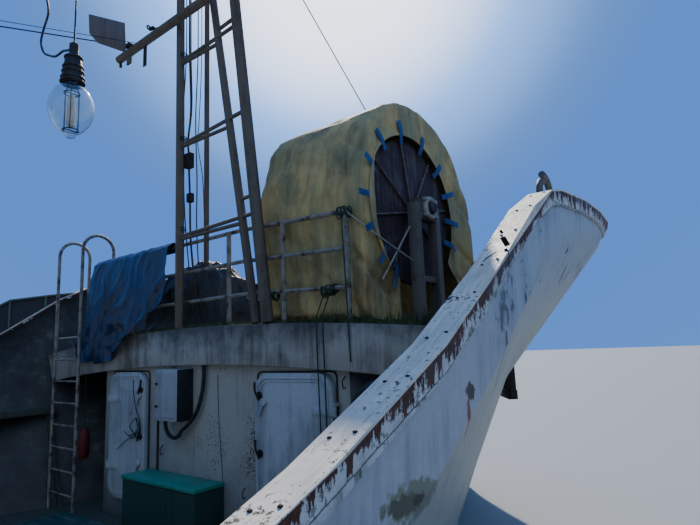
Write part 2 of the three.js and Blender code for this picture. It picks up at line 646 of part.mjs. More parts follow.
// Lattice mast: four legs tied by struts
const mastLegs = [
  { foot: [5450, 240], head: [5450, 300], r: 52 },
  { foot: [5960, 420], head: [5900, 330], r: 34 },
  { foot: [5462, -1085], head: [5480, -60], r: 46 },
  { foot: [5450, -1270], head: [5450, -560], r: 62 },
];
const mastTopZ = 8600;
const legAt = (leg, z) => {
  const t = (z - foreDeckZ) / (mastTopZ - foreDeckZ);
  return [mix(leg.foot[0], leg.head[0], t), mix(leg.foot[1], leg.head[1], t), z];
};
{
  const parts = mastLegs.map((leg) => {
    const lean = Math.abs(leg.head[1] - leg.foot[1]) / (mastTopZ - foreDeckZ);
    return rod(legAt(leg, standing(leg.foot[1], leg.r + 10) + lean * leg.r), legAt(leg, mastTopZ), leg.r, 8);
  });
  const [a, b, c, d] = mastLegs;
  const ties = [[a, 4060, d, 4100], [a, 4030, c, 4030], [a, 5220, d, 5300], [a, 5200, c, 5200],
    [a, 6350, d, 6400], [a, 6320, c, 6320], [a, 7500, d, 7500], [a, 7500, b, 7500], [c, 4300, d, 4300],
    [c, 5300, d, 5300], [c, 6500, d, 6500], [c, 7500, d, 7500]];
  for (const [p, z0, q, z1] of ties) parts.push(rod(legAt(p, z0), legAt(q, z1), 24, 6));
  parts.push(box(5380, 5970, -640, 380, mastTopZ - 40, mastTopZ + 20));
  piece('mast', join(...parts), ochre);
}

// Mast head: a topmast pole with two lamp brackets, and the yard on lugs across the legs
const topPole = { z0: mastTopZ + 20 + gap, z1: 9900, r0: 45, r1: 32 };
{
  const pole = rod([5650, -130, topPole.z0], [5650, -130, topPole.z1], topPole.r0, 10, topPole.r1);
  const arm = rod([5650, -430, 9300], [5650, 170, 9300], 22, 8);
  const lamps = [-430, 170].map((y) => rod([5650, y, 9290], [5650, y, 9450], 60, 10));
  piece('topmast', join(pole, arm, ...lamps), ochre);
}
const yard = { x: 5330, z: 6860, y0: -2400, y1: 1610, r: 55 };
{
  const tube = rod([yard.x, yard.y0, yard.z], [yard.x, yard.y1, yard.z], yard.r, 12);
  const lug = box(yard.x - 12, yard.x + 12, yard.y1 - 330, yard.y1 - 230, yard.z - 170, yard.z);
  const lugStarboard = box(yard.x - 12, yard.x + 12, yard.y0 + 60, yard.y0 + 160, yard.z - 170, yard.z);
  piece('yard', join(tube, lug, lugStarboard), ochre);
}

// Net reel: drum, shaft and two spoked discs, turning athwartships in two pedestals
const roundSides = 24;
const boreR = (r) => (r + gap) / Math.cos(Math.PI / roundSides); // flats clear of the shaft's corners
const reel = { x: 6400, z: 4010, discR: 760, yStarboard: -2430, yPort: -1260, discT: 45, drumR: 260,
  shaftR: 55 };
{
  const { x, z } = reel;
  const disc = (y) => rod([x, y, z], [x, y + reel.discT, z], reel.discR, 28);
  const spokes = [];
  for (let i = 0; i < 8; i++) {
    const a = (Math.PI * i) / 4 + 0.2;
    const spoke = box(90, reel.discR - 20, -22, 0.5, -16, 16);
    spoke.rotateY(-a).translate(x, reel.yStarboard, z);
    spokes.push(spoke);
  }
  const hub = rod([x, reel.yStarboard - 60, z], [x, reel.yStarboard + 5, z], 105, 12);
  const drum = rod([x, reel.yStarboard + 20, z], [x, reel.yPort + 20, z], reel.drumR, 14);
  const shaft = rod([x, reel.yStarboard - 290, z], [x, reel.yPort + 220, z], reel.shaftR, roundSides);
  piece('net_reel', join(disc(reel.yStarboard), disc(reel.yPort), ...spokes, hub, drum, shaft),
    paint(0x5a3c36, 0.7));
}
const bearingY = reel.yStarboard - 160;
function pedestal(y) {
  const { x, z } = reel;
  const top = foreZ(y) + 55;
  const posts = [-190, 190].map((dx) => box(x + dx - 45, x + dx + 45, y - 50, y + 50, top, z + 40));
  const seat = box(x - 235, x + 235, y - 50, y + 50, z - 120, z - 60);
  const housing = box(x - 120, x + 120, y - 70, y + 70, z - 100, z + 105);
  const tie = box(x - 200, x + 200, y - 20, y + 20, foreZ(y) + 420, foreZ(y) + 480);
  return [...posts, seat, housing, tie, box(x - 235, x + 235, y - 20, y + 20, z - 10, z + 30)];
}
{
  const { x, z, shaftR, yStarboard, yPort } = reel;
  const [y0, y1] = [yStarboard - 250, yPort + 240];
  const ys = camberYs(y0, y1);
  const beam = [...ys.map((y) => [y, foreZ(y) + gap]), ...ys.map((y) => [y, foreZ(y) + 65]).reverse()];
  const beams = [-330, 250].map((dx) => plateX(beam, x + dx, x + dx + 80));
  const ends = [bearingY, yPort + 150].map((y) => box(x - 300, x + 300, y - 60, y + 60, foreZ(y) + 12,
    foreZ(y) + 64));
  const bore = rod([x, y0 - 200, z], [x, y1 + 200, z], boreR(shaftR), roundSides);
  const stand = join(...beams, ...ends, ...pedestal(bearingY), ...pedestal(yPort + 150));
  piece('reel_stand', cut(stand, bore), paint(0x6b5f52, 0.8));
}

// Tarpaulin over the reel: one open shell, lying on a frame over the drum, open at the disc and below
{
  const wall = 22;
  const coverHem = 2800;
  const crown = (inset) => {
    // half outline in XZ: aft foot, aft side, crown, forward side, forward foot
    const rows = [[5600, coverHem], [5580, 3500], [5585, 4150], [5670, 4620], [5890, 5010], [6250, 5200],
      [6650, 5230],
      [7050, 5130], [7440, 4860], [7720, 4440], [7850, 3950], [7880, 3500], [7850, coverHem]];
    const cx = 6690;
    const cz = 3900;
    return rows.map(([x, z], i) => {
      if (inset === 0) return [x, z];
      const dx = cx - x;
      const dz = i === 0 || i === rows.length - 1 ? 0 : cz - z;
      const l = Math.hypot(dx, dz);
      return [x + (dx / l) * inset, z + (dz / l) * inset - (i === 0 || i === rows.length - 1 ? 40 : 0)];
    });
  };
  const shell = (inset, y0, y1) => plateY(crown(inset), y0, y1);
  const [y0, y1] = [-2490, -950];
  const outer = shell(0, y0, y1);
  const inner = shell(wall, y0 + wall, y1 - wall);
  const mouth = rod([reel.x, y0 - 50, reel.z], [reel.x, y0 + 60, reel.z], reel.discR + 40, 24);
  const hemYs = camberYs(y0 - 20, y1 + 20);
  const deck = [[y1 + 20, 2600], [y0 - 20, 2600], ...hemYs.map((y) => [y, foreZ(y) + gap])];
  const feet = plateX(deck, 5000, 8400);
  const postRoom = box(reel.x - 345, reel.x + 345, y0 - 60, y0 + 60, 2700, 4150);
  const foldedBack = plateY([[6700, 3500], [7047, 3545], [7200, 3400], [7400, 3200], [7580, 3000],
    [7660, 2880], [7660, 2500], [6700, 2500]], y0 - 60, y0 + 60);
  piece('reel_cover', cut(outer, inner, mouth, feet, postRoom, foldedBack), tarpYellow);
}

// Sheet hung on the rail and down over the deck beam, fanned out at its foot
{
  const profile = [[5395, 2540], [5380, 2900], [5400, 3500], [5430, 3960], [5500, 4015], [5516.5, 3995],
    [5516.5, 3900],
    [5440, 3480], [5419.5, 2990], [5419.5, 2540]];
  const spread = [[445, 4020], [445, 3300], [920, 3090], [1260, 2860], [1700, 2560], [2620, 2690], [2360,
    3200],
    [2300, 4020]];
  const hung = solid(plateY(profile, 400, 2700)).intersect(solid(plateX(spread, 5300, 5600)));
  piece('blue_tarpaulin', back(hung), tarpBlue);
}

// Heap of sheets behind the rail, around the mast's leg
{
  const heap = { x: 6040, y: 680, rx: 450, ry: 1200, rz: 950 };
  const dome = new THREE.SphereGeometry(1, 14, 10).rotateX(Math.PI / 2).scale(heap.rx, heap.ry, heap.rz);
  const keep = box(heap.x - heap.rx, heap.x + heap.rx, heap.y - heap.ry, heap.y + heap.ry, foreDeckZ + gap,
    4200);
  const pile = back(solid(dome.translate(heap.x, heap.y, foreDeckZ + gap)).intersect(solid(keep)));
  const leg = mastLegs[1];
  const legRoom = rod(legAt(leg, 2800), legAt(leg, 4200), leg.r + 5, 10);
  piece('tarpaulin_heap', cut(pile, legRoom), tarpDark);
}

// Anchor windlass on the forecastle deck: bed, and a drum with two warping heads
const windlass = { x: 9750, z: foreDeckZ + 460, drumR: 230, headR: 150 };
{
  const { x, z } = windlass;
  const bed = box(x - 420, x + 420, -620, 620, foreZ(620) + gap + 32, foreDeckZ + 130);
  const footZ = foreZ(500) + gap;
  const feet = [-600, 500].map((y) => box(x - 400, x + 400, y, y + 100, footZ, foreDeckZ + 100));
  const cheeks = [-600, 500].map((y) => plateY([[x - 330, foreDeckZ + 100], [x + 330, foreDeckZ + 100],
    [x + 120, z + 130], [x - 120, z + 130]], y, y + 100));
  const bore = rod([x, -900, z], [x, 900, z], boreR(60), roundSides);
  piece('windlass_frame', cut(join(bed, ...feet, ...cheeks), bore), darkSteel);
  const barrel = rod([x, -480, z], [x, 480, z], 120, 12);
  const cheeksOfDrum = [-480, -20, 440].map((y) => rod([x, y, z], [x, y + 40, z], windlass.drumR, 16));
  const shaft = rod([x, -760, z], [x, 760, z], 60, roundSides);
  const heads = [[-1010, -620 - 12], [632, 1010]].map(([y0, y1]) => rod([x, y0, z], [x, y1, z],
    windlass.headR, 12));
  piece('windlass_drum', join(barrel, ...cheeksOfDrum, shaft, ...heads), darkSteel);
}

// Stockless anchors on the flare, each shank in the bolster of its hawse pipe
function anchor(sign) {
  const [station, z] = [11200, 2150];
  const reach = 215; // shank's middle outboard of the plating
  const [x, y] = sideInner(station, z, -reach);
  const [tx, ty] = sideInner(station + 30, z, -reach);
  const angle = Math.atan2(ty - y, tx - x);
  const shank = box(-40, 40, -55, 55, -350, 150);
  const crown = box(-330, 330, -75, 75, -480, -330);
  const flukes = [-1, 1].map((k) => box(k * 300 - 75, k * 300 + 75, -50, 50, -470, 130));
  const place = (g) => g.rotateZ(angle).translate(x, y, z);
  const bolster = place(rod([0, 0, 60], [0, -reach - 25, 60], 85, 12));
  const body = place(join(shank, crown, ...flukes));
  const inboard = bare(sideLoft(1, reach)).translate(-gap * Math.sin(angle), gap * Math.cos(angle), 0);
  const g = join(body, cut(bolster, inboard));
  return sign > 0 ? g : mirrored(g);
}
piece('anchor_port', anchor(1), darkSteel);
piece('anchor_starboard', anchor(-1), darkSteel);

// Fish hold hatch in the well deck: a coaming and a lid hinged at its aft edge
const hatch = { x0: 1700, x1: 3300, y: 800, top: 1150, lid: 60 };
{
  const outer = box(hatch.x0, hatch.x1, -hatch.y, hatch.y, deckZ + gap, hatch.top);
  const well = box(hatch.x0 + 60, hatch.x1 - 60, -hatch.y + 60, hatch.y - 60, deckZ - 10, hatch.top + 10);
  piece('hatch_coaming', cut(outer, well), hullGreen);
  const lid = box(hatch.x0 - 40, hatch.x1 + 40, -hatch.y - 40, hatch.y + 40, hatch.top + gap,
    hatch.top + hatch.lid);
  const ribs = [0.25, 0.5, 0.75].map((t) => {
    const x = mix(hatch.x0, hatch.x1, t);
    return box(x - 25, x + 25, -hatch.y - 20, hatch.y + 20, hatch.top + hatch.lid - 5,
      hatch.top + hatch.lid + 40);
  });
  piece('hatch_lid', join(lid, ...ribs), hullGreen);
}

// Deckhouse on the main deck: hollow, with an aft doorway and round ports left out
const house = { x0: -6500, x1: -700, y: 2350, top: 2750, t: 60 };
const aftDoor = { y0: -1300, y1: -520, z0: 850, z1: 2500 };
const aftHingeY = aftDoor.y0 - hingeOff;
{
  const { x0, x1, y, top, t } = house;
  const outer = box(x0, x1, -y, y, deckZ + gap, top);
  const room = box(x0 + t, x1 - t, -y + t, y - t, deckZ - 10, top + 10);
  const doorway = box(x0 - 10, x0 + t + 10, aftDoor.y0 + doorLap, aftDoor.y1 - doorLap, aftDoor.z0 + doorLap,
    aftDoor.z1 - doorLap);
  const lugs = lugsX(x0 - 10 - leafT, x0 + 5, aftHingeY, hingeZs(aftDoor));
  piece('deckhouse', join(cut(outer, room, doorway), ...lugs), white);
  const leaf = roundedRect(aftDoor.y0, aftDoor.y1, aftDoor.z0, aftDoor.z1, 150, THREE.Shape);
  const g = new THREE.ExtrudeGeometry(leaf, { depth: leafT, bevelEnabled: false, curveSegments: 5 });
  const leafAt = x0 - 10 - leafT;
  g.applyMatrix4(new THREE.Matrix4().set(0, 0, 1, leafAt, 1, 0, 0, 0, 0, 1, 0, 0, 0, 0, 0, 1));
  const grip = bar([[leafAt + 2, -700, 1800], [leafAt - 60, -700, 1780], [leafAt - 60, -700, 1620],
    [leafAt + 2, -700, 1600]], 12, 8, 10);
  const strapY = aftDoor.y0 + 240;
  const straps = hingeZs(aftDoor).map((z) => box(leafAt - 12, leafAt + 6, aftHingeY, strapY, z - 35, z + 35));
  piece('deckhouse_door', join(g, grip, ...straps, ...barrels(leafAt, aftHingeY, hingeZs(aftDoor))), white);
}
const boat = { x0: -6800, x1: -300, y: 2620, z: 2750, t: 70 };
{
  const plan = roundedRect(boat.x0, boat.x1, -boat.y, boat.y, 500, THREE.Shape);
  const g = new THREE.ExtrudeGeometry(plan, { depth: boat.t, bevelEnabled: false, curveSegments: 5 });
  const raft = { x0: -5300, x1: -4200, y: 1600, r: 300, lift: 380 };
  const z = boat.z + gap + boat.t + raft.lift;
  const canister = rod([raft.x0, raft.y, z], [raft.x1, raft.y, z], raft.r, 16);
  const cradle = [raft.x0 + 200, raft.x1 - 280].map((x) => {
    return box(x, x + 80, raft.y - 260, raft.y + 260, boat.z + boat.t - 5, z - 120);
  });
  piece('boat_deck', join(g.translate(0, 0, boat.z + gap), canister, ...cradle), deckGreen);
}
const upperZ = boat.z + boat.t + gap;

// Pipe railing round the boat deck, cut across its rounded corners
{
  const [inset, turn, r] = [30, 500, 20];
  const [x0, x1, y] = [boat.x0 + inset, boat.x1 - inset, boat.y - inset];
  const half = [[x0, boat.y - turn], [boat.x0 + turn, y], [boat.x1 - turn, y], [x1, boat.y - turn]];
  const corners = [...half, ...half.map(([px, py]) => [px, -py]).reverse()];
  const parts = corners.map(([px, py]) => rod([px, py, upperZ + gap], [px, py, upperZ + 1010], r + 4, 6));
  for (const height of [520, 1000]) {
    corners.forEach(([px, py], i) => {
      const [nx, ny] = corners[(i + 1) % corners.length];
      parts.push(rod([px, py, upperZ + height], [nx, ny, upperZ + height], r, 6));
    });
  }
  for (const py of [-y, y]) {
    for (const t of [0.25, 0.5, 0.75]) {
      const px = mix(boat.x0 + turn, boat.x1 - turn, t);
      parts.push(rod([px, py, upperZ + gap], [px, py, upperZ + 1010], r + 4, 6));
    }
  }
  for (const px of [x0, x1]) {
    for (const py of [-700, 700]) parts.push(rod([px, py, upperZ + gap], [px, py, upperZ + 1010], r + 4, 6));
  }
  piece('boat_deck_railing', join(...parts), greyRail);
}

// Wheelhouse: four walls in one shell with its windows and two side doorways cut, under a separate roof
const bridge = { x0: -3900, x1: -900, y: 1750, top: 4950, t: 60 };
const bridgeDoor = { x0: -2350, x1: -1620, z0: upperZ + 90, z1: upperZ + 1830 };
const bridgeHingeX = bridgeDoor.x1 + hingeOff;
{
  const { x0, x1, y, top, t } = bridge;
  const outer = box(x0, x1, -y, y, upperZ + gap, top);
  const room = box(x0 + t, x1 - t, -y + t, y - t, upperZ - 10, top + 10);
  const [sill, head] = [upperZ + 1080, upperZ + 1780];
  const frontWindows = [-1360, -700, -40, 620].map((a) => box(x1 - t - 10, x1 + 10, a, a + 560, sill, head));
  const lastFront = box(x1 - t - 10, x1 + 10, 1240, 1540, sill, head);
  const backWindows = [-1300, 700].map((a) => box(x0 - 10, x0 + t + 10, a, a + 600, sill, head));
  const sideWindows = [-3650, -3020, -1480].map((a) => {
    return [-1, 1].map((k) => box(a, a + 460, k * y - t - 10, k * y + t + 10, sill, head));
  });
  const doorways = [-1, 1].map((k) => box(bridgeDoor.x0 + doorLap, bridgeDoor.x1 - doorLap, k * y - t - 10,
    k * y + t + 10, bridgeDoor.z0 + doorLap, bridgeDoor.z1 - doorLap));
  const lugs = [-1, 1].map((k) => lugsY(k * (y + 53), k * (y - 5), bridgeHingeX, hingeZs(bridgeDoor))).flat();
  const shell = cut(outer, room, ...frontWindows, lastFront, ...backWindows, ...sideWindows.flat(),
    ...doorways);
  piece('wheelhouse', join(shell, ...lugs), white);
  for (const [side, k] of [['port', 1], ['starboard', -1]]) {
    const outline = [[bridgeDoor.x0, bridgeDoor.z0], [bridgeDoor.x1, bridgeDoor.z0], [bridgeDoor.x1,
      bridgeDoor.z1],
      [bridgeDoor.x0, bridgeDoor.z1]];
    const pane = roundedRect(bridgeDoor.x0 + 150, bridgeDoor.x1 - 150, bridgeDoor.z0 + 950,
      bridgeDoor.z1 - 180, 60);
    const face = k * (y + 8);
    const leaf = plateY(outline, Math.min(face, face + k * 45), Math.max(face, face + k * 45), [pane], 4);
    const grip = box(bridgeDoor.x0 + 60, bridgeDoor.x0 + 90, Math.min(face + k * 40, face + k * 90),
      Math.max(face + k * 40, face + k * 90), bridgeDoor.z0 + 760, bridgeDoor.z0 + 930);
    const [s0, s1] = [face + k * 40, face + k * 57].sort((a, b) => a - b);
    const straps = hingeZs(bridgeDoor).map((z) => box(bridgeDoor.x1 - 130, bridgeHingeX, s0, s1, z - 35,
      z + 35));
    const pins = barrels(bridgeHingeX, k * (y + 53), hingeZs(bridgeDoor));
    piece(`wheelhouse_door_${side}`, join(leaf, grip, ...straps, ...pins), white);
  }
}
{
  const { x0, x1, y, top } = bridge;
  const ys = [-y - 160, -1000, 0, 1000, y + 160];
  const crown = (a) => top + 90 - 90 * (a / (y + 160)) ** 2;
  const outline = [...ys.map((a) => [a, crown(a) + 60]), [y + 160, top + gap], [-y - 160, top + gap]];
  piece('wheelhouse_roof', plateX(outline, x0 - 200, x1 + 420), cream);
}

// Engine casing and funnel aft of the wheelhouse
{
  const casing = box(-5900, -4500, -700, 700, upperZ + gap, upperZ + 620);
  const stackTop = upperZ + 1900;
  const stack = plateX([[-420, upperZ + 600], [420, upperZ + 600], [360, stackTop], [-360, stackTop]],
    -5600, -4800);
  const pipes = [-150, 150].map((y) => rod([-5200, y, upperZ + 1880], [-5260, y, upperZ + 2250], 85, 12));
  piece('funnel', join(casing, stack, ...pipes), ochre);
}

// Radar post on the wheelhouse roof with its turning scanner
const radar = { x: -2300, z: 6300 };
{
  const roofZ = bridge.top + 90 + 60 + gap;
  const post = rod([radar.x, 0, roofZ], [radar.x, 0, 7900], 70, 12, 45);
  const shelf = box(radar.x - 20, radar.x + 950, -150, 150, radar.z - 60, radar.z);
  const knee = plateY([[radar.x, radar.z - 500], [radar.x + 60, radar.z - 500], [radar.x + 800, radar.z - 50],
    [radar.x, radar.z - 50]], -12, 12);
  const yardArm = rod([radar.x, -900, 7300], [radar.x, 900, 7300], 28, 8);
  piece('radar_post', join(post, shelf, knee, yardArm), greyRail);
  const hub = rod([radar.x + 800, 0, radar.z + gap], [radar.x + 800, 0, radar.z + 160], 90, 12);
  const scanner = box(radar.x + 720, radar.x + 880, -620, 620, radar.z + 150, radar.z + 290);
  piece('radar_scanner', join(hub, scanner), paint(0xe4e4e0, 0.5));
}

// Trawl winch on the aft deck: a frame with three cheeks, and two drums that turn by themselves
const winch = { x: -8000, z: 1420, flangeR: 520, drumR: 200, y: 150, width: 950 };
{
  const { x, z, flangeR, drumR, y, width } = winch;
  const cheeks = [[-y - width - 140, -y - width - 30], [-y + 30, y - 30], [y + width + 30, y + width + 140]];
  const parts = cheeks.map(([y0, y1]) => plateY([[x - 480, deckZ + gap], [x + 480, deckZ + gap], [x + 160,
    z + 180],
    [x - 160, z + 180]], y0, y1));
  const bed = box(x - 520, x + 520, cheeks[0][0], cheeks[2][1], deckZ + gap, deckZ + 70);
  const bore = rod([x, -2000, z], [x, 2000, z], boreR(70), roundSides);
  piece('winch_frame', cut(join(...parts, bed), bore), darkSteel);
  for (const [side, k] of [['port', 1], ['starboard', -1]]) {
    const at = (a) => k * a;
    const disc = (a) => rod([x, at(a), z], [x, at(a + 30), z], flangeR, 20);
    const core = rod([x, at(y + 10), z], [x, at(y + width - 10), z], drumR, 14);
    const shaft = rod([x, at(y - 60), z], [x, at(y + width + 130), z], 70, roundSides);
    piece(`winch_drum_${side}`, join(disc(y + 5), disc(y + width - 35), core, shaft), ochre);
  }
}

// Gallows over the stern: two legs, a beam and knees
{
  const [x, y, top] = [-11700, 2500, 4700];
  const legs = [-y, y].map((a) => box(x - 110, x + 110, a - 110, a + 110, deckZ + gap, top));
  const beam = box(x - 110, x + 110, -y, y, top - 260, top);
  const braces = [-y, y].map((a) => rod([x + 60, a, top - 130], [x + 1500, a, deckZ + 75], 60, 8));
  const shoes = [-y, y].map((a) => box(x - 160, x + 1620, a - 130, a + 130, deckZ + gap, deckZ + 40));
  const pairs = [-y, y].map((a) => bitts(x + 620, a, deckZ + 20));
  piece('stern_gallows', join(...legs, beam, ...braces, ...shoes, ...pairs), ochre);
}

// Main stays in one piece with their collar: from the mast head to the stem, and aft to the radar post
{
  const [x, y, z] = [5650, -130, 9500];
  const poleR = (h) => mix(topPole.r0, topPole.r1, (h - topPole.z0) / (topPole.z1 - topPole.z0)) + gap;
  const hole = rod([x, y, z - 60], [x, y, z + 60], poleR(z - 60), 10, poleR(z + 60));
  const collar = cut(rod([x, y, z - 40], [x, y, z + 40], 62, 10), hole);
  const stemTop = sheerZ(12000);
  const eye = rod([12010, 0, stemTop - capT - 20], [12010, 0, stemTop + 90], 30, 8);
  const plate = box(11750, 12080, -300, 300, stemTop - capT - 30, stemTop - capT - 10);
  const fore = rod([x + 50, y, z], [12010, 0, stemTop + 60], 10, 6);
  const aft = rod([radar.x + 75, 0, 7850], [x - 50, y, z], 10, 6);
  piece('main_stays', join(collar, eye, plate, fore, aft), darkSteel);
}

// Lamp boom from the wheelhouse front, and the fishing lamp hung at its end
const lampTip = [2730, -3020, 4880];
{
  const x0 = bridge.x1 + gap;
  const pad = box(x0, x0 + 40, -1740, -1480, 4640, 4880);
  const spar = rod([x0 + 38, -1600, 4740], [lampTip[0] + 40, lampTip[1] - 14, lampTip[2]], 40, 10, 24);
  piece('lamp_boom', join(pad, spar, rod([...lampTip.slice(0, 2), 4840], lampTip, 10, 8)), greyRail);
}
const lamp = { x: 2730, y: -3020, socketZ: 3800, bulbR: 97 };
{
  const { x, y, socketZ, bulbR } = lamp;
  const socket = rod([x, y, socketZ], [x, y, socketZ + 125], 46, 14, 32);
  const hook = rod([x, y, socketZ + 120], [x, y, lampTip[2] - 40 - gap], 4, 6);
  piece('lamp_socket', join(socket, rod([x, y, socketZ + 120], [x, y, socketZ + 185], 20, 8), hook), black);
  const profile = [[0, -2 * bulbR - 45], [0.35, -2 * bulbR - 40], [0.75, -1.6 * bulbR - 30], [1, -bulbR - 10],
    [0.9, -0.55 * bulbR], [0.62, -0.22 * bulbR], [0.42, -gap], [0, -gap]];
  const bulb = new THREE.LatheGeometry(profile.map(([r, z]) => new THREE.Vector2(r * bulbR, z)), 16);
  piece('lamp_bulb', bulb.rotateX(Math.PI / 2).translate(x, y, socketZ), glassClear);
}

// A wire from the yard's port end to a post on the wheelhouse roof
const wireEnd = [yard.x, 1300, yard.z + yard.r + 30];
{
  const [x, y, z] = [-980, 1690, bridge.top + 330];
  const post = rod([x, y, bridge.top + 78], [x, y, z + 30], 24, 8);
  const saddle = box(yard.x - 60, yard.x + 60, 1250, 1350, yard.z + yard.r + gap, yard.z + yard.r + 52);
  piece('mast_wires', join(post, saddle, rod(wireEnd, [x, y, z], 8, 6)), darkSteel);
}

// Blank board hung against the wire
{
  const corners = [[4731, 7135], [4749, 6870], [4864, 6781], [5256, 6815], [5234, 7254]];
  const face = wireEnd[1] - 3; // the wire runs off to port on its way aft, so the board meets it at this end
  piece('hanging_board', plateY(corners, face - 18, face), darkSteel);
}

// The lamp's slack cable, from its socket up to the boom's tip
{
  const route = [[2730, -2998.2, 3972], [2730, -2950, 3985], [2730, -2910, 3998], [2730, -2840, 4002],
    [2730, -2776, 4030],
    [2730, -2705, 4075], [2730, -2665, 4145], [2730, -2690, 4205], [2730, -2730, 4260], [2730, -2715, 4330],
    [2730, -2672, 4395], [2730, -2680, 4480], [2730, -2760, 4600], [2730, -2870, 4715], [2728, -2945, 4800],
    [2715, -2979, 4858]];
  piece('lamp_cable', bar(route, 5, 8, 48), black);
}

export default object;
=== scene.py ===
# Looks of a steel fishing trawler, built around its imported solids. Metres; +X forward, +Y to port, +Z up.
import json
import math
import random

import bmesh
import bpy
import numpy as np
from mathutils import Matrix, Vector, noise
from mathutils.bvhtree import BVHTree


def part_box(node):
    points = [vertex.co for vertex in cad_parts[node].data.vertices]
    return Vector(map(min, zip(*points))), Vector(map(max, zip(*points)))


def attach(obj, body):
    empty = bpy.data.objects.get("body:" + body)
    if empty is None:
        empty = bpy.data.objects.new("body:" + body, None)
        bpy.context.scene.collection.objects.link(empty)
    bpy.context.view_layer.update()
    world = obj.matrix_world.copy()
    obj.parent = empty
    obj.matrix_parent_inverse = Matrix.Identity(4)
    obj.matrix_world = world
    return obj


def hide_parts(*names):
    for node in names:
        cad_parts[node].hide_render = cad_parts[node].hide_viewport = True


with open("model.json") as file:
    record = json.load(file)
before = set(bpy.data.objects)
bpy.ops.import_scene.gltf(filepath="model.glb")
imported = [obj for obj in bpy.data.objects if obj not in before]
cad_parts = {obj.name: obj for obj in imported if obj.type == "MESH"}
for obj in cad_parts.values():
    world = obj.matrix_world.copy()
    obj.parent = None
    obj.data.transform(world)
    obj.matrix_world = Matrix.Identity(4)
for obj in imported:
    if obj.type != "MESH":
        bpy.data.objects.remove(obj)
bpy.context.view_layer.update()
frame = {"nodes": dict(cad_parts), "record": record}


# Camera and light
# The photograph was taken from just outboard of the starboard side by the well deck, looking forward
# and to port, with the sun ahead. The key stands ahead and high, with a weak broad fill behind, and a
# blue room that is brightest about the key lights the shade.
def direction(turn, tilt):
    """The unit vector of a heading and a climb, in degrees."""
    turn, tilt = math.radians(turn), math.radians(tilt)
    return Vector((math.cos(turn) * math.cos(tilt), math.sin(turn) * math.cos(tilt), math.sin(tilt)))


heading, climb, roll = 38.0, 9.19, math.radians(-2.4)
ahead = direction(heading, climb)
level = Vector((math.sin(math.radians(heading)), -math.cos(math.radians(heading)), 0.0))
upright = level.cross(ahead)
across = level * math.cos(roll) + upright * math.sin(roll)
above = upright * math.cos(roll) - level * math.sin(roll)
eye_x, eye_y, eye_z = 1.8, -5.2, 2.65
photo_width, focal_pixels, sensor = 700, 526, 36.0
eye = bpy.data.objects.new("camera", bpy.data.cameras.new("camera"))
bpy.context.scene.collection.objects.link(eye)
eye.data.sensor_width = sensor
eye.data.lens = sensor * focal_pixels / photo_width
eye.data.clip_start, eye.data.clip_end = 0.05, 600.0
eye.matrix_world = Matrix((
    (across.x, above.x, -ahead.x, eye_x),
    (across.y, above.y, -ahead.y, eye_y),
    (across.z, above.z, -ahead.z, eye_z),
    (0.0, 0.0, 0.0, 1.0),
))
bpy.context.scene.camera = eye


def linear(colour):
    """Turns an sRGB hex colour to linear RGBA."""
    parts = [int(colour[i:i + 2], 16) / 255 for i in (0, 2, 4)]
    return (*[p / 12.92 if p <= 0.04045 else ((p + 0.055) / 1.055) ** 2.4 for p in parts], 1.0)


def feed(tree, node, inputs):
    """Sets a node's inputs, each to a value or to another node's output."""
    for key, value in inputs.items():
        if isinstance(value, bpy.types.NodeSocket):
            tree.links.new(value, node.inputs[key])
        else:
            node.inputs[key].default_value = value


def put(tree, kind, inputs=None, stops=None, use=None, **settings):
    """Adds one node, a shader's unless its kind says other; gives the output called use, or its first."""
    made = tree.nodes.new(kind if "Node" in kind else "ShaderNode" + kind)
    for name, value in settings.items():
        setattr(made, name, value)
    feed(tree, made, inputs or {})
    if stops:
        keys = made.color_ramp.elements
        while len(keys) < len(stops):
            keys.new(0.5)
        for key, (where, colour) in zip(keys, stops):
            key.position = where
            key.color = linear(colour) if isinstance(colour, str) else (colour, colour, colour, 1.0)
    return made.outputs[use] if use else next(output for output in made.outputs if output.enabled)


world = bpy.data.worlds.new("room")
bpy.context.scene.world = world
world.use_nodes = True
sun_turn, sun_tilt = 38.0, 40.0
room = world.node_tree
near_sun = put(room, "VectorMath", {0: put(room, "TexCoord", use="Generated"),
                                    1: direction(sun_turn, sun_tilt)}, operation="DOT_PRODUCT")
around = put(room, "MapRange", {"Value": near_sun, "From Min": -1.0})
sky = put(room, "ValToRGB", {"Fac": around}, [(0.45, "6488B4"), (0.75, "6098EC"), (0.93, "5890EC"),
                                              (0.975, "74A4EA"), (1.0, "E8F0FF")])
sky.node.color_ramp.interpolation = "EASE"
glow = put(room, "MapRange", {"Value": near_sun, "From Min": 0.9, "To Min": 1.0, "To Max": 3.0},
           interpolation_type="SMOOTHSTEP")
feed(room, room.nodes["Background"], {"Color": sky, "Strength": glow})
for name, turn, tilt, energy, softness, colour in (
    ("key", sun_turn, sun_tilt, 6.2, 1.5, "FFF1DC"),
    ("fill", 236.0, 34.0, 0.35, 50.0, "D6E4FF"),
):
    lamp = bpy.data.objects.new(name, bpy.data.lights.new(name, "SUN"))
    lamp.data.energy = energy
    lamp.data.angle = math.radians(softness)
    lamp.data.color = linear(colour)[:3]
    lamp.matrix_world = direction(turn, tilt).to_track_quat("Z", "Y").to_matrix().to_4x4()
    bpy.context.scene.collection.objects.link(lamp)


def new_material(name):
    """A new material's data, node tree, shader node and own coordinates."""
    mat = bpy.data.materials.new(name)
    mat.use_nodes = True
    tree = mat.node_tree
    return mat, tree, tree.nodes["Principled BSDF"], put(tree, "TexCoord", use="Object")


def even_coat(name, inputs):
    """A material that is the same all over."""
    mat, tree, shader, _ = new_material(name)
    feed(tree, shader, inputs)
    return mat


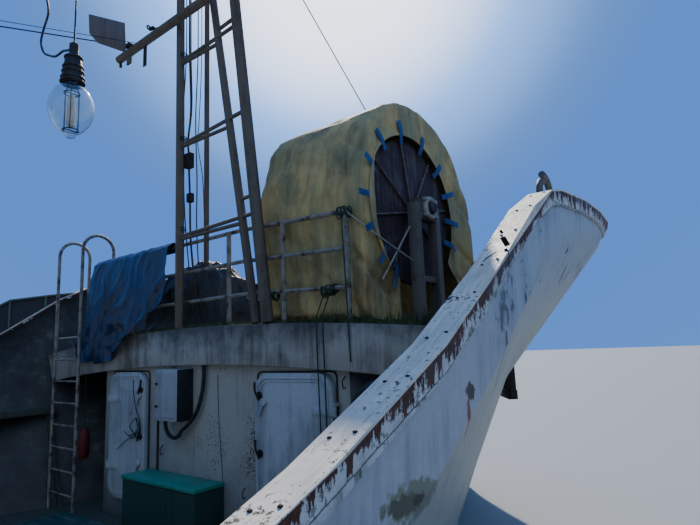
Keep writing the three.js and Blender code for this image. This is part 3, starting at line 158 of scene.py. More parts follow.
half_floor = 140.0
floor_mesh = bpy.data.meshes.new("floor")
floor_corners = [(x * half_floor, y * half_floor, 0) for x, y in ((-1, -1), (1, -1), (1, 1), (-1, 1))]
floor_mesh.from_pydata(floor_corners, [], [(0, 1, 2, 3)])
floor_mesh.materials.append(even_coat("pale floor", {"Base Color": linear("8C949A"), "Roughness": 0.9}))
floor = bpy.data.objects.new("floor", floor_mesh)
bpy.context.scene.collection.objects.link(floor)


# Hanging hose and lamp cable
# Two free lines of black rubber. The hose leaves the deck beam and enters the switch box from below;
# the cable leaves the lamp socket and climbs slackly to the tip of its boom.
def extruded_rubber(name, colour, rough):
    """Black rubber, extruded: dull, and a little chalky in places."""
    mat, tree, shader, place = new_material(name)
    chalk = put(tree, "TexNoise", {"Vector": place, "Scale": 22.0, "Detail": 5.0})
    tone = put(tree, "ValToRGB", {"Fac": chalk}, [(0.42, colour), (0.75, "3A3D40")])
    dull = put(tree, "MapRange", {"Value": chalk, "To Min": rough - 0.1, "To Max": rough + 0.2})
    feed(tree, shader, {"Base Color": tone, "Roughness": dull})
    return mat


def smooth_path(points, steps):
    """A uniform Catmull-Rom curve through the points, the same one that the solids follow."""
    p = [Vector(q) for q in points]
    p = [2 * p[0] - p[1], *p, 2 * p[-1] - p[-2]]
    path = []
    for i in range(1, len(p) - 2):
        for k in range(steps):
            t = k / steps
            a, b = (p[i + 1] - p[i - 1]) * 0.5, (p[i + 2] - p[i]) * 0.5
            path.append(p[i] * (2 * t ** 3 - 3 * t ** 2 + 1) + a * (t ** 3 - 2 * t ** 2 + t)
                        + p[i + 1] * (3 * t ** 2 - 2 * t ** 3) + b * (t ** 3 - t ** 2))
    return [*path, p[-2]]


def arc_points(centre, radius, angles, plane="xz"):
    """Points about a centre, in the plane of two axes, at angles in radians."""
    one, other = ("xyz".index(axis) for axis in plane)
    points = []
    for a in angles:
        p = list(centre)
        p[one] += radius * math.cos(a)
        p[other] += radius * math.sin(a)
        points.append(tuple(p))
    return points


def ring_points(centre, radius, count, plane="xz"):
    """A closed circle of count steps."""
    return arc_points(centre, radius, [math.tau * k / count for k in range(count + 1)], plane)


def seat(name, mesh, body, slot):
    """An object of the mesh, at the origin, that rides on a body."""
    made = bpy.data.objects.new(name, mesh)
    bpy.context.scene.collection.objects.link(made)
    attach(made, body)
    return made


def shade(mesh, sharp):
    """Smooth faces, with the edges hard that turn by more than sharp degrees."""
    mesh.polygons.foreach_set("use_smooth", [True] * len(mesh.polygons))
    mesh.set_sharp_from_angle(angle=math.radians(sharp))


def add_piece(name, points, faces, mat, body, slot, sharp=50):
    """A piece of one mesh, from its points and faces."""
    mesh = bpy.data.meshes.new(name)
    mesh.from_pydata([tuple(p) for p in points], [], faces)
    mesh.materials.append(mat)
    shade(mesh, sharp)
    return seat(name, mesh, body, slot)


def tube_parts(path, radius, sides=10, start=0):
    """Points and faces of a closed round tube along a path; radius may be a list, one for each point."""
    path = [Vector(p) for p in path]
    count = len(path)
    radii = radius if isinstance(radius, (list, tuple)) else [radius] * count
    ways = [(path[min(i + 1, count - 1)] - path[max(i - 1, 0)]).normalized() for i in range(count)]
    side = ways[0].orthogonal().normalized()
    points, faces = [], []
    for i, (p, way) in enumerate(zip(path, ways)):
        side = (side - way * side.dot(way)).normalized()
        other = way.cross(side)
        points += [p + (side * math.cos(a) + other * math.sin(a)) * radii[i]
                   for a in (math.tau * k / sides for k in range(sides))]
    for i in range(count - 1):
        for k in range(sides):
            a, b = i * sides + k, i * sides + (k + 1) % sides
            faces.append((start + a, start + b, start + b + sides, start + a + sides))
    faces.append(tuple(start + k for k in reversed(range(sides))))
    faces.append(tuple(start + (count - 1) * sides + k for k in range(sides)))
    return points, faces


def many_tubes(name, runs, mat, body, slot, sides=10):
    """One mesh of several closed tubes, each given as (path, radius)."""
    points, faces = [], []
    for path, radius in runs:
        more, skin = tube_parts(path, radius, sides, len(points))
        points += more
        faces += skin
    return add_piece(name, points, faces, mat, body, slot)


def run_length(path):
    """The length along a path."""
    return sum((b - a).length for a, b in zip(path, path[1:]))


black_rubber = extruded_rubber("extruded black rubber", "0B0C0E", 0.55)
hose_radius, hose_bend = 0.022, 0.176
beam_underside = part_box("wall_hose")[1][2]
hose_x, bend_y, bend_z = 5.4, 0.254, 1.901
hose_turn = arc_points((hose_x, bend_y, bend_z), hose_bend,
                       [math.radians(a) for a in (0, -30, -60, -90, -120, -150)], "yz")
hose_route = [(hose_x, 0.43, 1.9197), *hose_turn, (5.415, 0.02, 1.87), (5.44, -0.11, 2.01),
              (5.455, -0.19, 2.22), (5.46, -0.215, 2.4), (5.46, -0.215, beam_underside)]
hose_path = smooth_path(list(reversed(hose_route)), 6)
wall_hose = many_tubes("wall_hose_rubber", [(hose_path, hose_radius)], black_rubber, "boat", "black_rubber",
                       14)
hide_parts("wall_hose")
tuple(hose_path[0])
run_length(hose_path)

cable_radius = 0.005
cable_route = [(2.73, -2.9982, 3.972), (2.73, -2.95, 3.985), (2.73, -2.91, 3.998), (2.73, -2.84, 4.002),
               (2.73, -2.776, 4.03), (2.73, -2.705, 4.075), (2.73, -2.665, 4.145), (2.73, -2.69, 4.205),
               (2.73, -2.73, 4.26), (2.73, -2.715, 4.33), (2.73, -2.672, 4.395), (2.73, -2.68, 4.48),
               (2.73, -2.76, 4.6), (2.73, -2.87, 4.715), (2.728, -2.945, 4.8), (2.715, -2.979, 4.858)]
cable_path = smooth_path(cable_route, 5)
lamp_cable = many_tubes("lamp_cable_rubber", [(cable_path, cable_radius)], black_rubber, "boat",
                        "black_rubber")
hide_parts("lamp_cable")
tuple(cable_path[0])
run_length(cable_path)


# Hull below the deck
# Welded steel plate to the keel, with dark red bottom paint up to the water and chalked green over it.
# It is painted by roller over fouled plate, so its dull coat has broad worn patches and vertical runs.
def layered(tree, coat, layers):
    """Coats laid over one another: each layer is a mask and the colour that it lets through."""
    for mask, colour in layers:
        colour = linear(colour) if isinstance(colour, str) else colour
        coat = put(tree, "Mix", {0: mask, 6: coat, 7: colour}, data_type="RGBA")
    return coat


def weathered_paint(name, coat, grime, bare, patch=0.5, peel=0.3, grimy=0.5, runs=0.5, rough=0.6, bump=0.4):
    """Alkyd paint rolled on steel: clouded, streaked downwards by rain, and flaked to primer and rust."""
    mat, tree, shader, place = new_material(name)
    broad = put(tree, "TexNoise", {"Vector": place, "Scale": 1 / patch, "Detail": 7.0, "Roughness": 0.6})
    fine = put(tree, "TexNoise", {"Vector": place, "Scale": 14 / patch, "Detail": 6.0, "Roughness": 0.7})
    long_way = put(tree, "Mapping", {"Vector": place, "Scale": (13.0, 13.0, 0.8)})
    rain = put(tree, "TexNoise", {"Vector": long_way, "Scale": 1.0, "Detail": 6.0, "Roughness": 0.65})
    cloud = put(tree, "Math", {0: broad, 1: rain}, operation="ADD")
    dirt = put(tree, "MapRange", {"Value": cloud, "From Min": 1.12 - 0.3 * runs,
                                  "From Max": 1.42 - 0.3 * runs, "To Max": grimy})
    flake = put(tree, "Math", {0: broad, 1: fine}, operation="ADD")
    edge, rim_width, flake_lip = 1.36 - 0.3 * peel, 0.05, 0.02
    flaked = put(tree, "MapRange", {"Value": flake, "From Min": edge, "From Max": edge + flake_lip})
    rim = put(tree, "MapRange", {"Value": flake, "From Min": edge - rim_width, "From Max": edge})
    shadow = put(tree, "ValToRGB", {"Fac": fine}, [(0.3, 0.82), (0.72, 1.0)])
    worn = layered(tree, linear(coat), [(dirt, grime)])
    toned = put(tree, "Mix", {0: 0.8, 6: worn, 7: shadow}, data_type="RGBA", blend_type="MULTIPLY")
    rusty = put(tree, "ValToRGB", {"Fac": fine}, [(0.4, bare), (0.7, "2A1C18")])
    done = layered(tree, toned, [(rim, "8C7F72"), (flaked, rusty)])
    dull = put(tree, "MapRange", {"Value": flaked, "To Min": rough, "To Max": 0.9})
    height = put(tree, "Math", {0: fine, 1: flaked}, operation="SUBTRACT")
    relief = put(tree, "Bump", {"Strength": bump, "Distance": 0.004, "Height": height})
    feed(tree, shader, {"Base Color": done, "Roughness": dull, "Normal": relief})
    return mat


def keep_modified(piece):
    """Makes what the piece's modifiers show its own mesh."""
    piece.data = bpy.data.meshes.new_from_object(piece.evaluated_get(bpy.context.evaluated_depsgraph_get()))
    piece.modifiers.clear()


def dressed(node, mat, edge=0.004, sharp=35):
    """The node's own shape, merged, with its hard edges eased as a welder's grinder leaves them."""
    mesh = frame["nodes"][node].data.copy()
    mesh.name = node + "_dressed"
    work = bmesh.new()
    work.from_mesh(mesh)
    bmesh.ops.remove_doubles(work, verts=work.verts, dist=2e-5)
    bmesh.ops.dissolve_limit(work, angle_limit=math.radians(0.6), verts=work.verts, edges=work.edges)
    work.to_mesh(mesh)
    work.free()
    bodies = frame["record"]["behaviour"]["bodies"]
    slots = {part["node"]: part["material_slot"] for part in frame["record"]["subparts"]}
    piece = seat(mesh.name, mesh, next(body for body, nodes in bodies.items() if node in nodes), slots[node])
    if edge:
        ease = piece.modifiers.new("ease", "BEVEL")
        ease.width = edge
        ease.segments = 2
        ease.limit_method = "ANGLE"
        ease.angle_limit = math.radians(sharp)
        keep_modified(piece)
    piece.data.materials.clear()
    piece.data.materials.append(mat)
    shade(piece.data, sharp)
    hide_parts(node)
    return piece


def opened(mat):
    """What a further coat on a material needs: its tree, shader node, own coordinates and colour so far."""
    tree = mat.node_tree
    shader = tree.nodes["Principled BSDF"]
    place = put(tree, "TexCoord", use="Object")
    coat = shader.inputs["Base Color"].links[0].from_socket
    return tree, shader, place, coat


def topside_paint(name, coat, grime, low_tint):
    """Topside paint over zinc primer: chalked, specked with rust, stained with weed low down."""
    mat = weathered_paint(name, coat, grime, "5B3325", patch=0.7, peel=0.12, grimy=0.35, runs=0.3,
                          rough=0.45, bump=0.25)
    tree, shader, place, coat = opened(mat)
    height = put(tree, "SeparateXYZ", {0: place}, use="Z")
    breadth = put(tree, "SeparateXYZ", {0: place}, use="Y")
    slope = put(tree, "SeparateXYZ", {0: put(tree, "NewGeometry", use="Normal")}, use="Z")
    # Faces that turn downwards, as under the knuckle, take a green-beige tint: partly weed, partly painted
    # shade.
    underside_weed_and_shade = put(tree, "MapRange", {"Value": slope, "From Min": -0.15, "From Max": -0.42, "To Max": 0.75})
    ragged = put(tree, "TexNoise", {"Vector": place, "Scale": 3.0, "Detail": 8.0, "Roughness": 0.65})
    lifted = put(tree, "Math", {0: ragged, 1: 0.9, 2: height}, operation="MULTIPLY_ADD")
    algae = put(tree, "MapRange", {"Value": lifted, "From Min": 1.15, "From Max": 0.55, "To Max": 0.85})
    wetted = put(tree, "MapRange", {"Value": height, "From Min": 0.06, "From Max": 0.04})
    layers = [(underside_weed_and_shade, "9A9C80"), (algae, low_tint), (wetted, "4B2A26")]
    # Grey runs that drip from the cap, then short dark scrapes, both thick in the same patches.
    patchy = put(tree, "TexNoise", {"Vector": place, "Scale": 1.5, "Detail": 3.0})
    for stretch, detail, torn, start, end, cover, tint in (
        ((11.0, 11.0, 0.9), 8.0, 0.7, 1.0, 1.2, 0.5, "6C7078"),
        ((15.0, 15.0, 6.0), 9.0, 0.75, 1.2, 1.24, 0.8, "33302F"),
    ):
        drawn = put(tree, "Mapping", {"Vector": place, "Scale": stretch})
        strokes = put(tree, "TexNoise", {"Vector": drawn, "Scale": 1.0, "Detail": detail,
                                         "Roughness": torn})
        thick = put(tree, "Math", {0: patchy, 1: strokes}, operation="ADD")
        mask = put(tree, "MapRange", {"Value": thick, "From Min": start, "From Max": end, "To Max": cover})
        layers.append((mask, tint))
    # Single marks on the starboard side: each has its (x, z), its half width and height, and its tint.
    frayed = put(tree, "TexNoise", {"Vector": place, "Scale": 26.0, "Detail": 5.0})
    starboard = put(tree, "Math", {0: breadth, 1: 0.0}, operation="LESS_THAN")
    # The near-black mark at x 4.4 is painted shade standing for a drain hole, with a rust run below it.
    for (x, z), (wide, tall), tint in (
        ((4.4, 2.395), (0.055, 0.05), "0C0C0D"), ((4.37, 2.27), (0.02, 0.13), "7A3A2A"),
        ((3.8, 2.0), (0.24, 0.085), "6E7663"), ((3.74, 2.0), (0.15, 0.045), "3A4436"),
        ((4.95, 2.62), (0.02, 0.12), "3E4650"), ((5.9, 3.1), (0.05, 0.02), "5B646E"),
        ((3.83, 2.0), (0.05, 0.022), "15130F"), ((5.35, 2.93), (0.02, 0.05), "2B2320"),
        ((6.9, 3.25), (0.03, 0.09), "23262A"), ((6.62, 3.42), (0.05, 0.03), "3A4048"),
        ((7.35, 3.3), (0.02, 0.11), "2A2B2E"), ((7.7, 3.42), (0.03, 0.05), "33363C"),
        ((5.0, 2.42), (0.014, 0.06), "2B2320"),
    ):
        moved = put(tree, "VectorMath", {0: place, 1: (x, 0.0, z)}, operation="SUBTRACT")
        shrunk = put(tree, "VectorMath", {0: moved, 1: (1 / wide, 0.0, 1 / tall)}, operation="MULTIPLY")
        far = put(tree, "VectorMath", {0: shrunk}, operation="LENGTH")
        ragged_far = put(tree, "Math", {0: frayed, 1: 1.4, 2: far}, operation="MULTIPLY_ADD")
        inside = put(tree, "MapRange", {"Value": ragged_far, "From Min": 1.75, "From Max": 1.5})
        layers.append((put(tree, "Math", {0: inside, 1: starboard}, operation="MULTIPLY"), tint))
    feed(tree, shader, {"Base Color": layered(tree, coat, layers)})
    return mat


def recoat(piece, mat, chosen):
    """Gives the faces that chosen(face) picks another coat."""
    piece.data.materials.append(mat)
    last = len(piece.data.materials) - 1
    for face in piece.data.polygons:
        if chosen(face):
            face.material_index = last


deck_coat = weathered_paint("mossy deck paint", "4A544C", "232B21", "2E241E", patch=0.35, peel=0.4,
                            rough=0.85)
hull_skin = dressed("hull", topside_paint("chalked green topside", "2F4A46", "1D2A29", "46553A"), edge=0,
                    sharp=28)
recoat(hull_skin, deck_coat, lambda face: face.normal.z > 0.9 and face.center.z > 0.6)


# Propeller, rudder
# Cast manganese bronze, dull and brown under water, on a shaft in the stern tube; behind it a plate
# rudder on its stock, painted like the bottom.
def cast_bronze(name):
    """Manganese bronze, as cast: brown-gold, with green bloom in its hollows and a soft shine."""
    mat, tree, shader, place = new_material(name)
    bloom = put(tree, "TexNoise", {"Vector": place, "Scale": 7.0, "Detail": 8.0, "Roughness": 0.65})
    tone = put(tree, "ValToRGB", {"Fac": bloom}, [(0.4, "8A6A34"), (0.58, "6B5730"), (0.7, "4E6A52")])
    dull = put(tree, "MapRange", {"Value": bloom, "To Min": 0.25, "To Max": 0.75})
    feed(tree, shader, {"Base Color": tone, "Roughness": dull, "Metallic": 1.0})
    return mat


bottom_paint = weathered_paint("red oxide bottom paint", "4B2A26", "3A3F2C", "2A2320", patch=0.4, rough=0.8)
dressed("propeller", cast_bronze("cast manganese bronze"), edge=0.006)
dressed("rudder", bottom_paint, edge=0.008)


# Bulwark plating
# Steel plates welded edge to edge above the deck, with a knuckle under the doubled strake, tripping
# frames inside and freeing ports low down; white outside, dark grey and grey-green within.
def inside_paint(name, outer):
    """The outer paint outboard; inboard a dark grey coat that turns grey-green in patches."""
    mat = outer.copy()
    mat.name = name
    tree, shader, place, coat = opened(mat)
    inboard = put(tree, "Attribute", attribute_name="inboard", attribute_type="GEOMETRY", use="Fac")
    blotch = put(tree, "TexNoise", {"Vector": place, "Scale": 4.0, "Detail": 8.0, "Roughness": 0.7})
    tone = put(tree, "ValToRGB", {"Fac": blotch}, [(0.36, "121314"), (0.5, "26282C"), (0.6, "343B38"),
                                                   (0.72, "5C6B5C")])
    feed(tree, shader, {"Base Color": layered(tree, coat, [(inboard, tone)])})
    return mat


plate_paint = inside_paint("bulwark plate paint", topside_paint("chalked white topside", "A9AFB6", "7E868E",
                                                                "6B745F"))
for side in ("starboard", "port"):
    plating = dressed("side_plating_" + side, plate_paint, edge=0.0, sharp=24)
    outward = -1 if side == "starboard" else 1
    marks = plating.data.attributes.new("inboard", "FLOAT", "FACE")
    marks.data.foreach_set("value", [1.0 if face.normal.y * outward < 0.05 else 0.0
                                     for face in plating.data.polygons])
transom = dressed("transom_bulwark", plate_paint, edge=0.004)
marks = transom.data.attributes.new("inboard", "FLOAT", "FACE")
marks.data.foreach_set("value", [1.0 if face.normal.x > 0.5 else 0.0 for face in transom.data.polygons])


# Gunwale
# A flat steel cap with two rows of bolts along its outer edge, and a doubled strake under it. Cream
# gloss, walked and rubbed off on top; below the edge the coat has let go in long dark tongues.
sheer_line = [(-12.3, 2.02), (-9.0, 1.82), (-4.0, 1.73), (0.0, 1.71), (1.6, 1.75), (2.4, 1.93),
              (3.2, 2.235), (4.1, 2.655), (4.8, 3.08), (5.6, 3.625), (6.05, 3.84), (6.35, 3.905),
              (7.2, 3.985), (8.8, 4.06), (12.4, 4.38)]


def sheer_at(x):
    """Height of the cap's top over a place along the boat."""
    return float(np.interp(x, [p[0] for p in sheer_line], [p[1] for p in sheer_line]))


def cap_paint(name):
    """Cream gloss on steel: rubbed thin and stained on the flat, hanging in rust-edged flakes below."""
    mat, tree, shader, place = new_material(name)
    below = put(tree, "Attribute", attribute_name="below", attribute_type="GEOMETRY", use="Fac")
    broad = put(tree, "TexNoise", {"Vector": place, "Scale": 2.6, "Detail": 8.0, "Roughness": 0.62})
    fine = put(tree, "TexNoise", {"Vector": place, "Scale": 34.0, "Detail": 6.0, "Roughness": 0.7})
    specks = put(tree, "TexNoise", {"Vector": place, "Scale": 70.0, "Detail": 3.0})
    brushed = put(tree, "Mapping", {"Vector": place, "Scale": (1.1, 34.0, 5.0)})
    strokes = put(tree, "TexNoise", {"Vector": brushed, "Scale": 1.0, "Detail": 7.0, "Roughness": 0.65})
    stroked = put(tree, "Mix", {0: 0.45, 2: broad, 3: strokes}, data_type="FLOAT")
    top = put(tree, "ValToRGB", {"Fac": stroked}, [(0.34, "8E8C86"), (0.46, "C6C2B6"), (0.58, "E4DECF"),
                                                   (0.72, "A5A29A")])
    scuffed = put(tree, "Math", {0: broad, 1: fine}, operation="ADD")
    bare = put(tree, "MapRange", {"Value": scuffed, "From Min": 1.13, "From Max": 1.17})
    dots = put(tree, "MapRange", {"Value": specks, "From Min": 0.68, "From Max": 0.71})
    worn = put(tree, "Math", {0: bare, 1: dots}, operation="MAXIMUM")
    # Near-black marks across the cap, each a turned block with its (x, y), half sizes and angle.
    # The largest, at x 5.12, is painted shade standing for a slot in the cap; the rest are chips to bare
    # metal.
    chips_and_slot_shade = 0.0
    for centre, size, turn in (
        ((5.122, -3.91), (0.078, 0.018), 32.0), ((5.265, -3.834), (0.034, 0.009), 32.0),
        ((5.005, -3.957), (0.024, 0.011), 32.0), ((4.965, -3.87), (0.045, 0.007), -35.0),
        ((4.93, -3.85), (0.03, 0.005), -20.0),
    ):
        laid = put(tree, "Mapping", {"Vector": place, "Location": (*centre, 0.0), "Scale": (*size, 1.0),
                                     "Rotation": (0.0, 0.0, math.radians(turn))}, vector_type="TEXTURE")
        span = put(tree, "VectorMath", {0: laid}, operation="ABSOLUTE")
        far = put(tree, "Math", {0: put(tree, "SeparateXYZ", {0: span}, use="X"),
                                 1: put(tree, "SeparateXYZ", {0: span}, use="Y")}, operation="MAXIMUM")
        torn = put(tree, "Math", {0: fine, 1: 0.5, 2: far}, operation="MULTIPLY_ADD")
        chip_and_slot_shade_mark = put(tree, "MapRange", {"Value": torn, "From Min": 1.3, "From Max": 1.2})
        chips_and_slot_shade = put(tree, "Math", {0: chip_and_slot_shade_mark, 1: chips_and_slot_shade}, operation="MAXIMUM")
    top_done = layered(tree, top, [(worn, "4E4640"), (chips_and_slot_shade, "1A1817")])
    shine = put(tree, "Math", {0: chips_and_slot_shade, 1: -0.3, 2: 0.3}, operation="MULTIPLY_ADD")
    squeezed = put(tree, "Mapping", {"Vector": place, "Scale": (16.0, 16.0, 4.0)})
    tongues = put(tree, "TexNoise", {"Vector": squeezed, "Scale": 1.0, "Detail": 9.0, "Roughness": 0.72})
    reach = put(tree, "MapRange", {"Value": tongues, "From Min": 0.36, "From Max": 0.57, "To Min": -0.012,
                                   "To Max": 0.135})
    spare = put(tree, "Math", {0: reach, 1: below}, operation="SUBTRACT")
    gone = put(tree, "MapRange", {"Value": spare, "From Min": 0.0, "From Max": 0.004})
    lip = put(tree, "MapRange", {"Value": spare, "From Min": -0.008, "From Max": 0.0, "To Max": 0.6})
    rust = put(tree, "ValToRGB", {"Fac": fine}, [(0.36, "2B1A16"), (0.5, "4A2A20"), (0.66, "6E4434")])
    band = put(tree, "ValToRGB", {"Fac": broad}, [(0.35, "8F9490"), (0.48, "BFC3C2"), (0.7, "D3D5D2")])
    chipped = put(tree, "MapRange", {"Value": scuffed, "From Min": 1.07, "From Max": 1.1, "To Max": 0.75})
    wavy = put(tree, "Math", {0: tongues, 1: 0.03, 2: below}, operation="MULTIPLY_ADD")
    off_seam = put(tree, "Math", {0: wavy, 1: 0.147}, operation="SUBTRACT")
    seam_far = put(tree, "Math", {0: off_seam}, operation="ABSOLUTE")
    seam = put(tree, "MapRange", {"Value": seam_far, "From Min": 0.006, "From Max": 0.002, "To Max": 0.85})
    band_done = layered(tree, band, [(chipped, "6E7468"), (lip, "E0DDD2"), (gone, rust), (seam, "3A3833")])
    past_edge = put(tree, "MapRange", {"Value": below, "From Min": 0.012, "From Max": 0.016})
    facing = put(tree, "SeparateXYZ", {0: put(tree, "NewGeometry", use="Normal")}, use="Z")
    steep = put(tree, "MapRange", {"Value": facing, "From Min": 0.66, "From Max": 0.5})
    low = put(tree, "Math", {0: past_edge, 1: steep}, operation="MULTIPLY")
    done = layered(tree, top_done, [(low, band_done)])
    depth = put(tree, "Math", {0: low, 1: gone}, operation="MULTIPLY")
    sunk = put(tree, "Math", {0: fine, 1: 0.35, 2: depth}, operation="MULTIPLY_ADD")
    pitted = put(tree, "Math", {0: sunk, 1: worn}, operation="ADD")
    relief = put(tree, "Bump", {"Strength": 0.55, "Distance": 0.004, "Height": pitted}, invert=True)
    dull = put(tree, "MapRange", {"Value": scuffed, "From Min": 0.8, "From Max": 1.2, "To Min": 0.42,
                                  "To Max": 0.8})
    feed(tree, shader, {"Base Color": done, "Roughness": dull, "Normal": relief,
                        "Specular IOR Level": shine})
    return mat


cap_coat = cap_paint("rubbed cream gloss")
plate_coat = weathered_paint("dark weather plate paint", "34353C", "1E1F22", "3A2A24", patch=0.4, peel=0.3,
                             rough=0.75)
stern_cap_z = 2.02
caps = {}
for node in ("gunwale_starboard", "gunwale_port", "gunwale_stern"):
    cap = caps[node] = dressed(node, cap_coat, edge=0.009, sharp=24)
    depths = [(stern_cap_z if node == "gunwale_stern" else sheer_at(v.co.x)) - v.co.z
              for v in cap.data.vertices]
    cap.data.attributes.new("below", "FLOAT", "POINT").data.foreach_set("value", depths)
    if node == "gunwale_port":
        recoat(cap, plate_coat, lambda face: 4.2 < face.center.x < 5.9 and 3.84 < face.center.y < 3.87
               and face.center.z > sheer_at(face.center.x) + 0.004)


def grow(name, path_runs, tree, values, body, slot):
    """Runs a Geometry Nodes tree over poly curves or a mesh and keeps the result as one plain mesh."""
    if isinstance(path_runs, bpy.types.Mesh):
        base = bpy.data.objects.new(name + "_base", path_runs)
    else:
        curve = bpy.data.curves.new(name + "_base", "CURVE")
        curve.dimensions = "3D"
        for run in path_runs:
            line = curve.splines.new("POLY")
            line.points.add(len(run) - 1)
            for spot, p in zip(line.points, run):
                spot.co = (*p, 1.0)
        base = bpy.data.objects.new(name + "_base", curve)
    bpy.context.scene.collection.objects.link(base)
    grown = base.modifiers.new("grow", "NODES")
    grown.node_group = tree
    sockets = {s.name: s.identifier for s in tree.interface.items_tree if s.in_out == "INPUT"}
    for key, value in values.items():
        grown[sockets[key]] = value
    bpy.context.view_layer.update()
    mesh = bpy.data.meshes.new_from_object(base.evaluated_get(bpy.context.evaluated_depsgraph_get()))
    mesh.name = name
    bpy.data.objects.remove(base)
    seat(name, mesh, body, slot)


def new_tree(name, sizes):
    """An empty Geometry Nodes tree with its geometry sockets and one float input for each size."""
    tree = bpy.data.node_groups.new(name, "GeometryNodeTree")
    tree.interface.new_socket("Geometry", in_out="INPUT", socket_type="NodeSocketGeometry")
    tree.interface.new_socket("Geometry", in_out="OUTPUT", socket_type="NodeSocketGeometry")
    for key, value in sizes.items():
        tree.interface.new_socket(key, in_out="INPUT", socket_type="NodeSocketFloat").default_value = value
    return tree, tree.nodes.new("NodeGroupInput"), tree.nodes.new("NodeGroupOutput")


def realized(tree, placed, mat, out):
    """Ends a tree: real copies, their material, and the group's output."""
    real = put(tree, "GeometryNodeRealizeInstances", {0: placed})
    feed(tree, out, {0: put(tree, "GeometryNodeSetMaterial", {"Geometry": real, "Material": mat})})
    return tree


def bolts_tree(name, mat):
    """Domed bolt heads at even spacing along each line, standing in +Z."""
    tree, given, out = new_tree(name, {"Spacing": 0.5, "Radius": 0.012, "Height": 0.008})
    spread = put(tree, "GeometryNodeResampleCurve", {"Curve": given.outputs["Geometry"],
                                                     "Length": given.outputs["Spacing"]}, mode="LENGTH")
    head = put(tree, "GeometryNodeMeshUVSphere", {"Segments": 10, "Rings": 6,
                                                  "Radius": given.outputs["Radius"]})
    flat = put(tree, "Math", {0: given.outputs["Height"], 1: given.outputs["Radius"]}, operation="DIVIDE")
    squat = put(tree, "CombineXYZ", {0: 1.0, 1: 1.0, 2: flat})
    placed = put(tree, "GeometryNodeInstanceOnPoints", {"Points": spread, "Instance": head, "Scale": squat})
    return realized(tree, placed, mat, out)


def rusted_steel(name, dark="2A1B16", light="5E3A29"):
    """Mild steel left to rust: dark scale with brown bloom, rough all over."""
    mat, tree, shader, place = new_material(name)
    scale = put(tree, "TexNoise", {"Vector": place, "Scale": 26.0, "Detail": 8.0, "Roughness": 0.7})
    tone = put(tree, "ValToRGB", {"Fac": scale}, [(0.38, dark), (0.66, light)])
    relief = put(tree, "Bump", {"Strength": 0.5, "Distance": 0.003, "Height": scale})
    feed(tree, shader, {"Base Color": tone, "Normal": relief, "Roughness": 0.85, "Metallic": 0.25})
    return mat


bolt_rust = rusted_steel("rusted bolt steel", "14100E", "3C2A22")
bolt_lines = []
for hand, node in ((-1, "gunwale_starboard"), (1, "gunwale_port")):
    skin = caps[node].data
    shell = BVHTree.FromPolygons([v.co for v in skin.vertices], [tuple(f.vertices) for f in skin.polygons])
    struck = [shell.ray_cast(Vector((x, hand * 9.0, sheer_at(x) - 0.02)), Vector((0, -hand, 0)))[0]
              for x in np.arange(-11.6, 12.0, 0.2)]
    edge = [spot for spot in struck if spot]
    for inset in (0.05, 0.15):
        line = []
        for before, here, after in zip(edge, edge[1:], edge[2:]):
            run = (after - before).normalized()
            inward = Vector((run.y, -run.x, 0)) * hand
            line.append((here.x + inward.x * inset, here.y + inward.y * inset, sheer_at(here.x) + 0.001))
        bolt_lines.append(line)
grow("gunwale_bolts", bolt_lines, bolts_tree("bolt heads", bolt_rust),
     {"Spacing": 0.42, "Radius": 0.011, "Height": 0.006}, "boat", "dark_steel")
horn_coat = weathered_paint("chipped horn paint", "5C5B59", "45423E", "40342C", patch=0.06, peel=0.9,
                            rough=0.55)
fairlead_x = 6.48
for side, y in (("starboard", -3.79), ("port", 3.79)):
    cut = bmesh.new()
    cut.from_mesh(caps[f"gunwale_{side}"].data)
    spare = [v for v in cut.verts if 6.2 < v.co.x < 6.8 and v.co.z > sheer_at(v.co.x) + 0.02]
    bmesh.ops.delete(cut, geom=spare, context="VERTS")
    cut.to_mesh(caps[f"gunwale_{side}"].data)
    cut.free()
    horns = []
    foot = sheer_at(fairlead_x)
    for x, reach, height in ((6.33, 0.11, 0.12), (6.62, -0.19, 0.19)):
        curl = [(x, y, foot - 0.04), (x, y, foot + 0.02), (x + reach * 0.1, y, foot + height * 0.5),
                (x + reach * 0.45, y, foot + height * 0.88), (x + reach, y, foot + height)]
        horns.append((smooth_path(curl, 6), 0.03))
    many_tubes(f"fairlead_horns_{side}", horns, horn_coat, "boat", "cap_paint", 14)


# Forecastle deck, fascia, house wall
# Steel deck, its paint gone mossy, with a deep fascia plate under its after edge and the house wall
# below that. Both are brushed white many times over; mould and rust gather towards the fascia's top.
dressed("forecastle_deck", deck_coat, edge=0.006)
fascia_coat = weathered_paint("mouldy white fascia paint", "A9A8A2", "45413C", "4E3A2E", patch=0.5,
                              peel=0.2, grimy=0.8, runs=0.6, rough=0.55)


def soiled_band(mat, clean, foul, colour, cover):
    """Mould and rust dust that gather upwards from one height to another, broken up in clouds."""
    tree, shader, place, coat = opened(mat)
    height = put(tree, "SeparateXYZ", {0: place}, use="Z")
    cloud = put(tree, "TexNoise", {"Vector": place, "Scale": 2.4, "Detail": 10.0, "Roughness": 0.72,
                                   "Distortion": 0.3})
    lift = put(tree, "Math", {0: cloud, 1: 0.8, 2: height}, operation="MULTIPLY_ADD")
    band = put(tree, "MapRange", {"Value": lift, "From Min": clean, "From Max": foul, "To Max": cover})
    feed(tree, shader, {"Base Color": layered(tree, coat, [(band, colour)])})


soiled_band(fascia_coat, 3.05, 3.33, "332B26", 0.85)
dressed("deck_fascia", fascia_coat, edge=0.006)


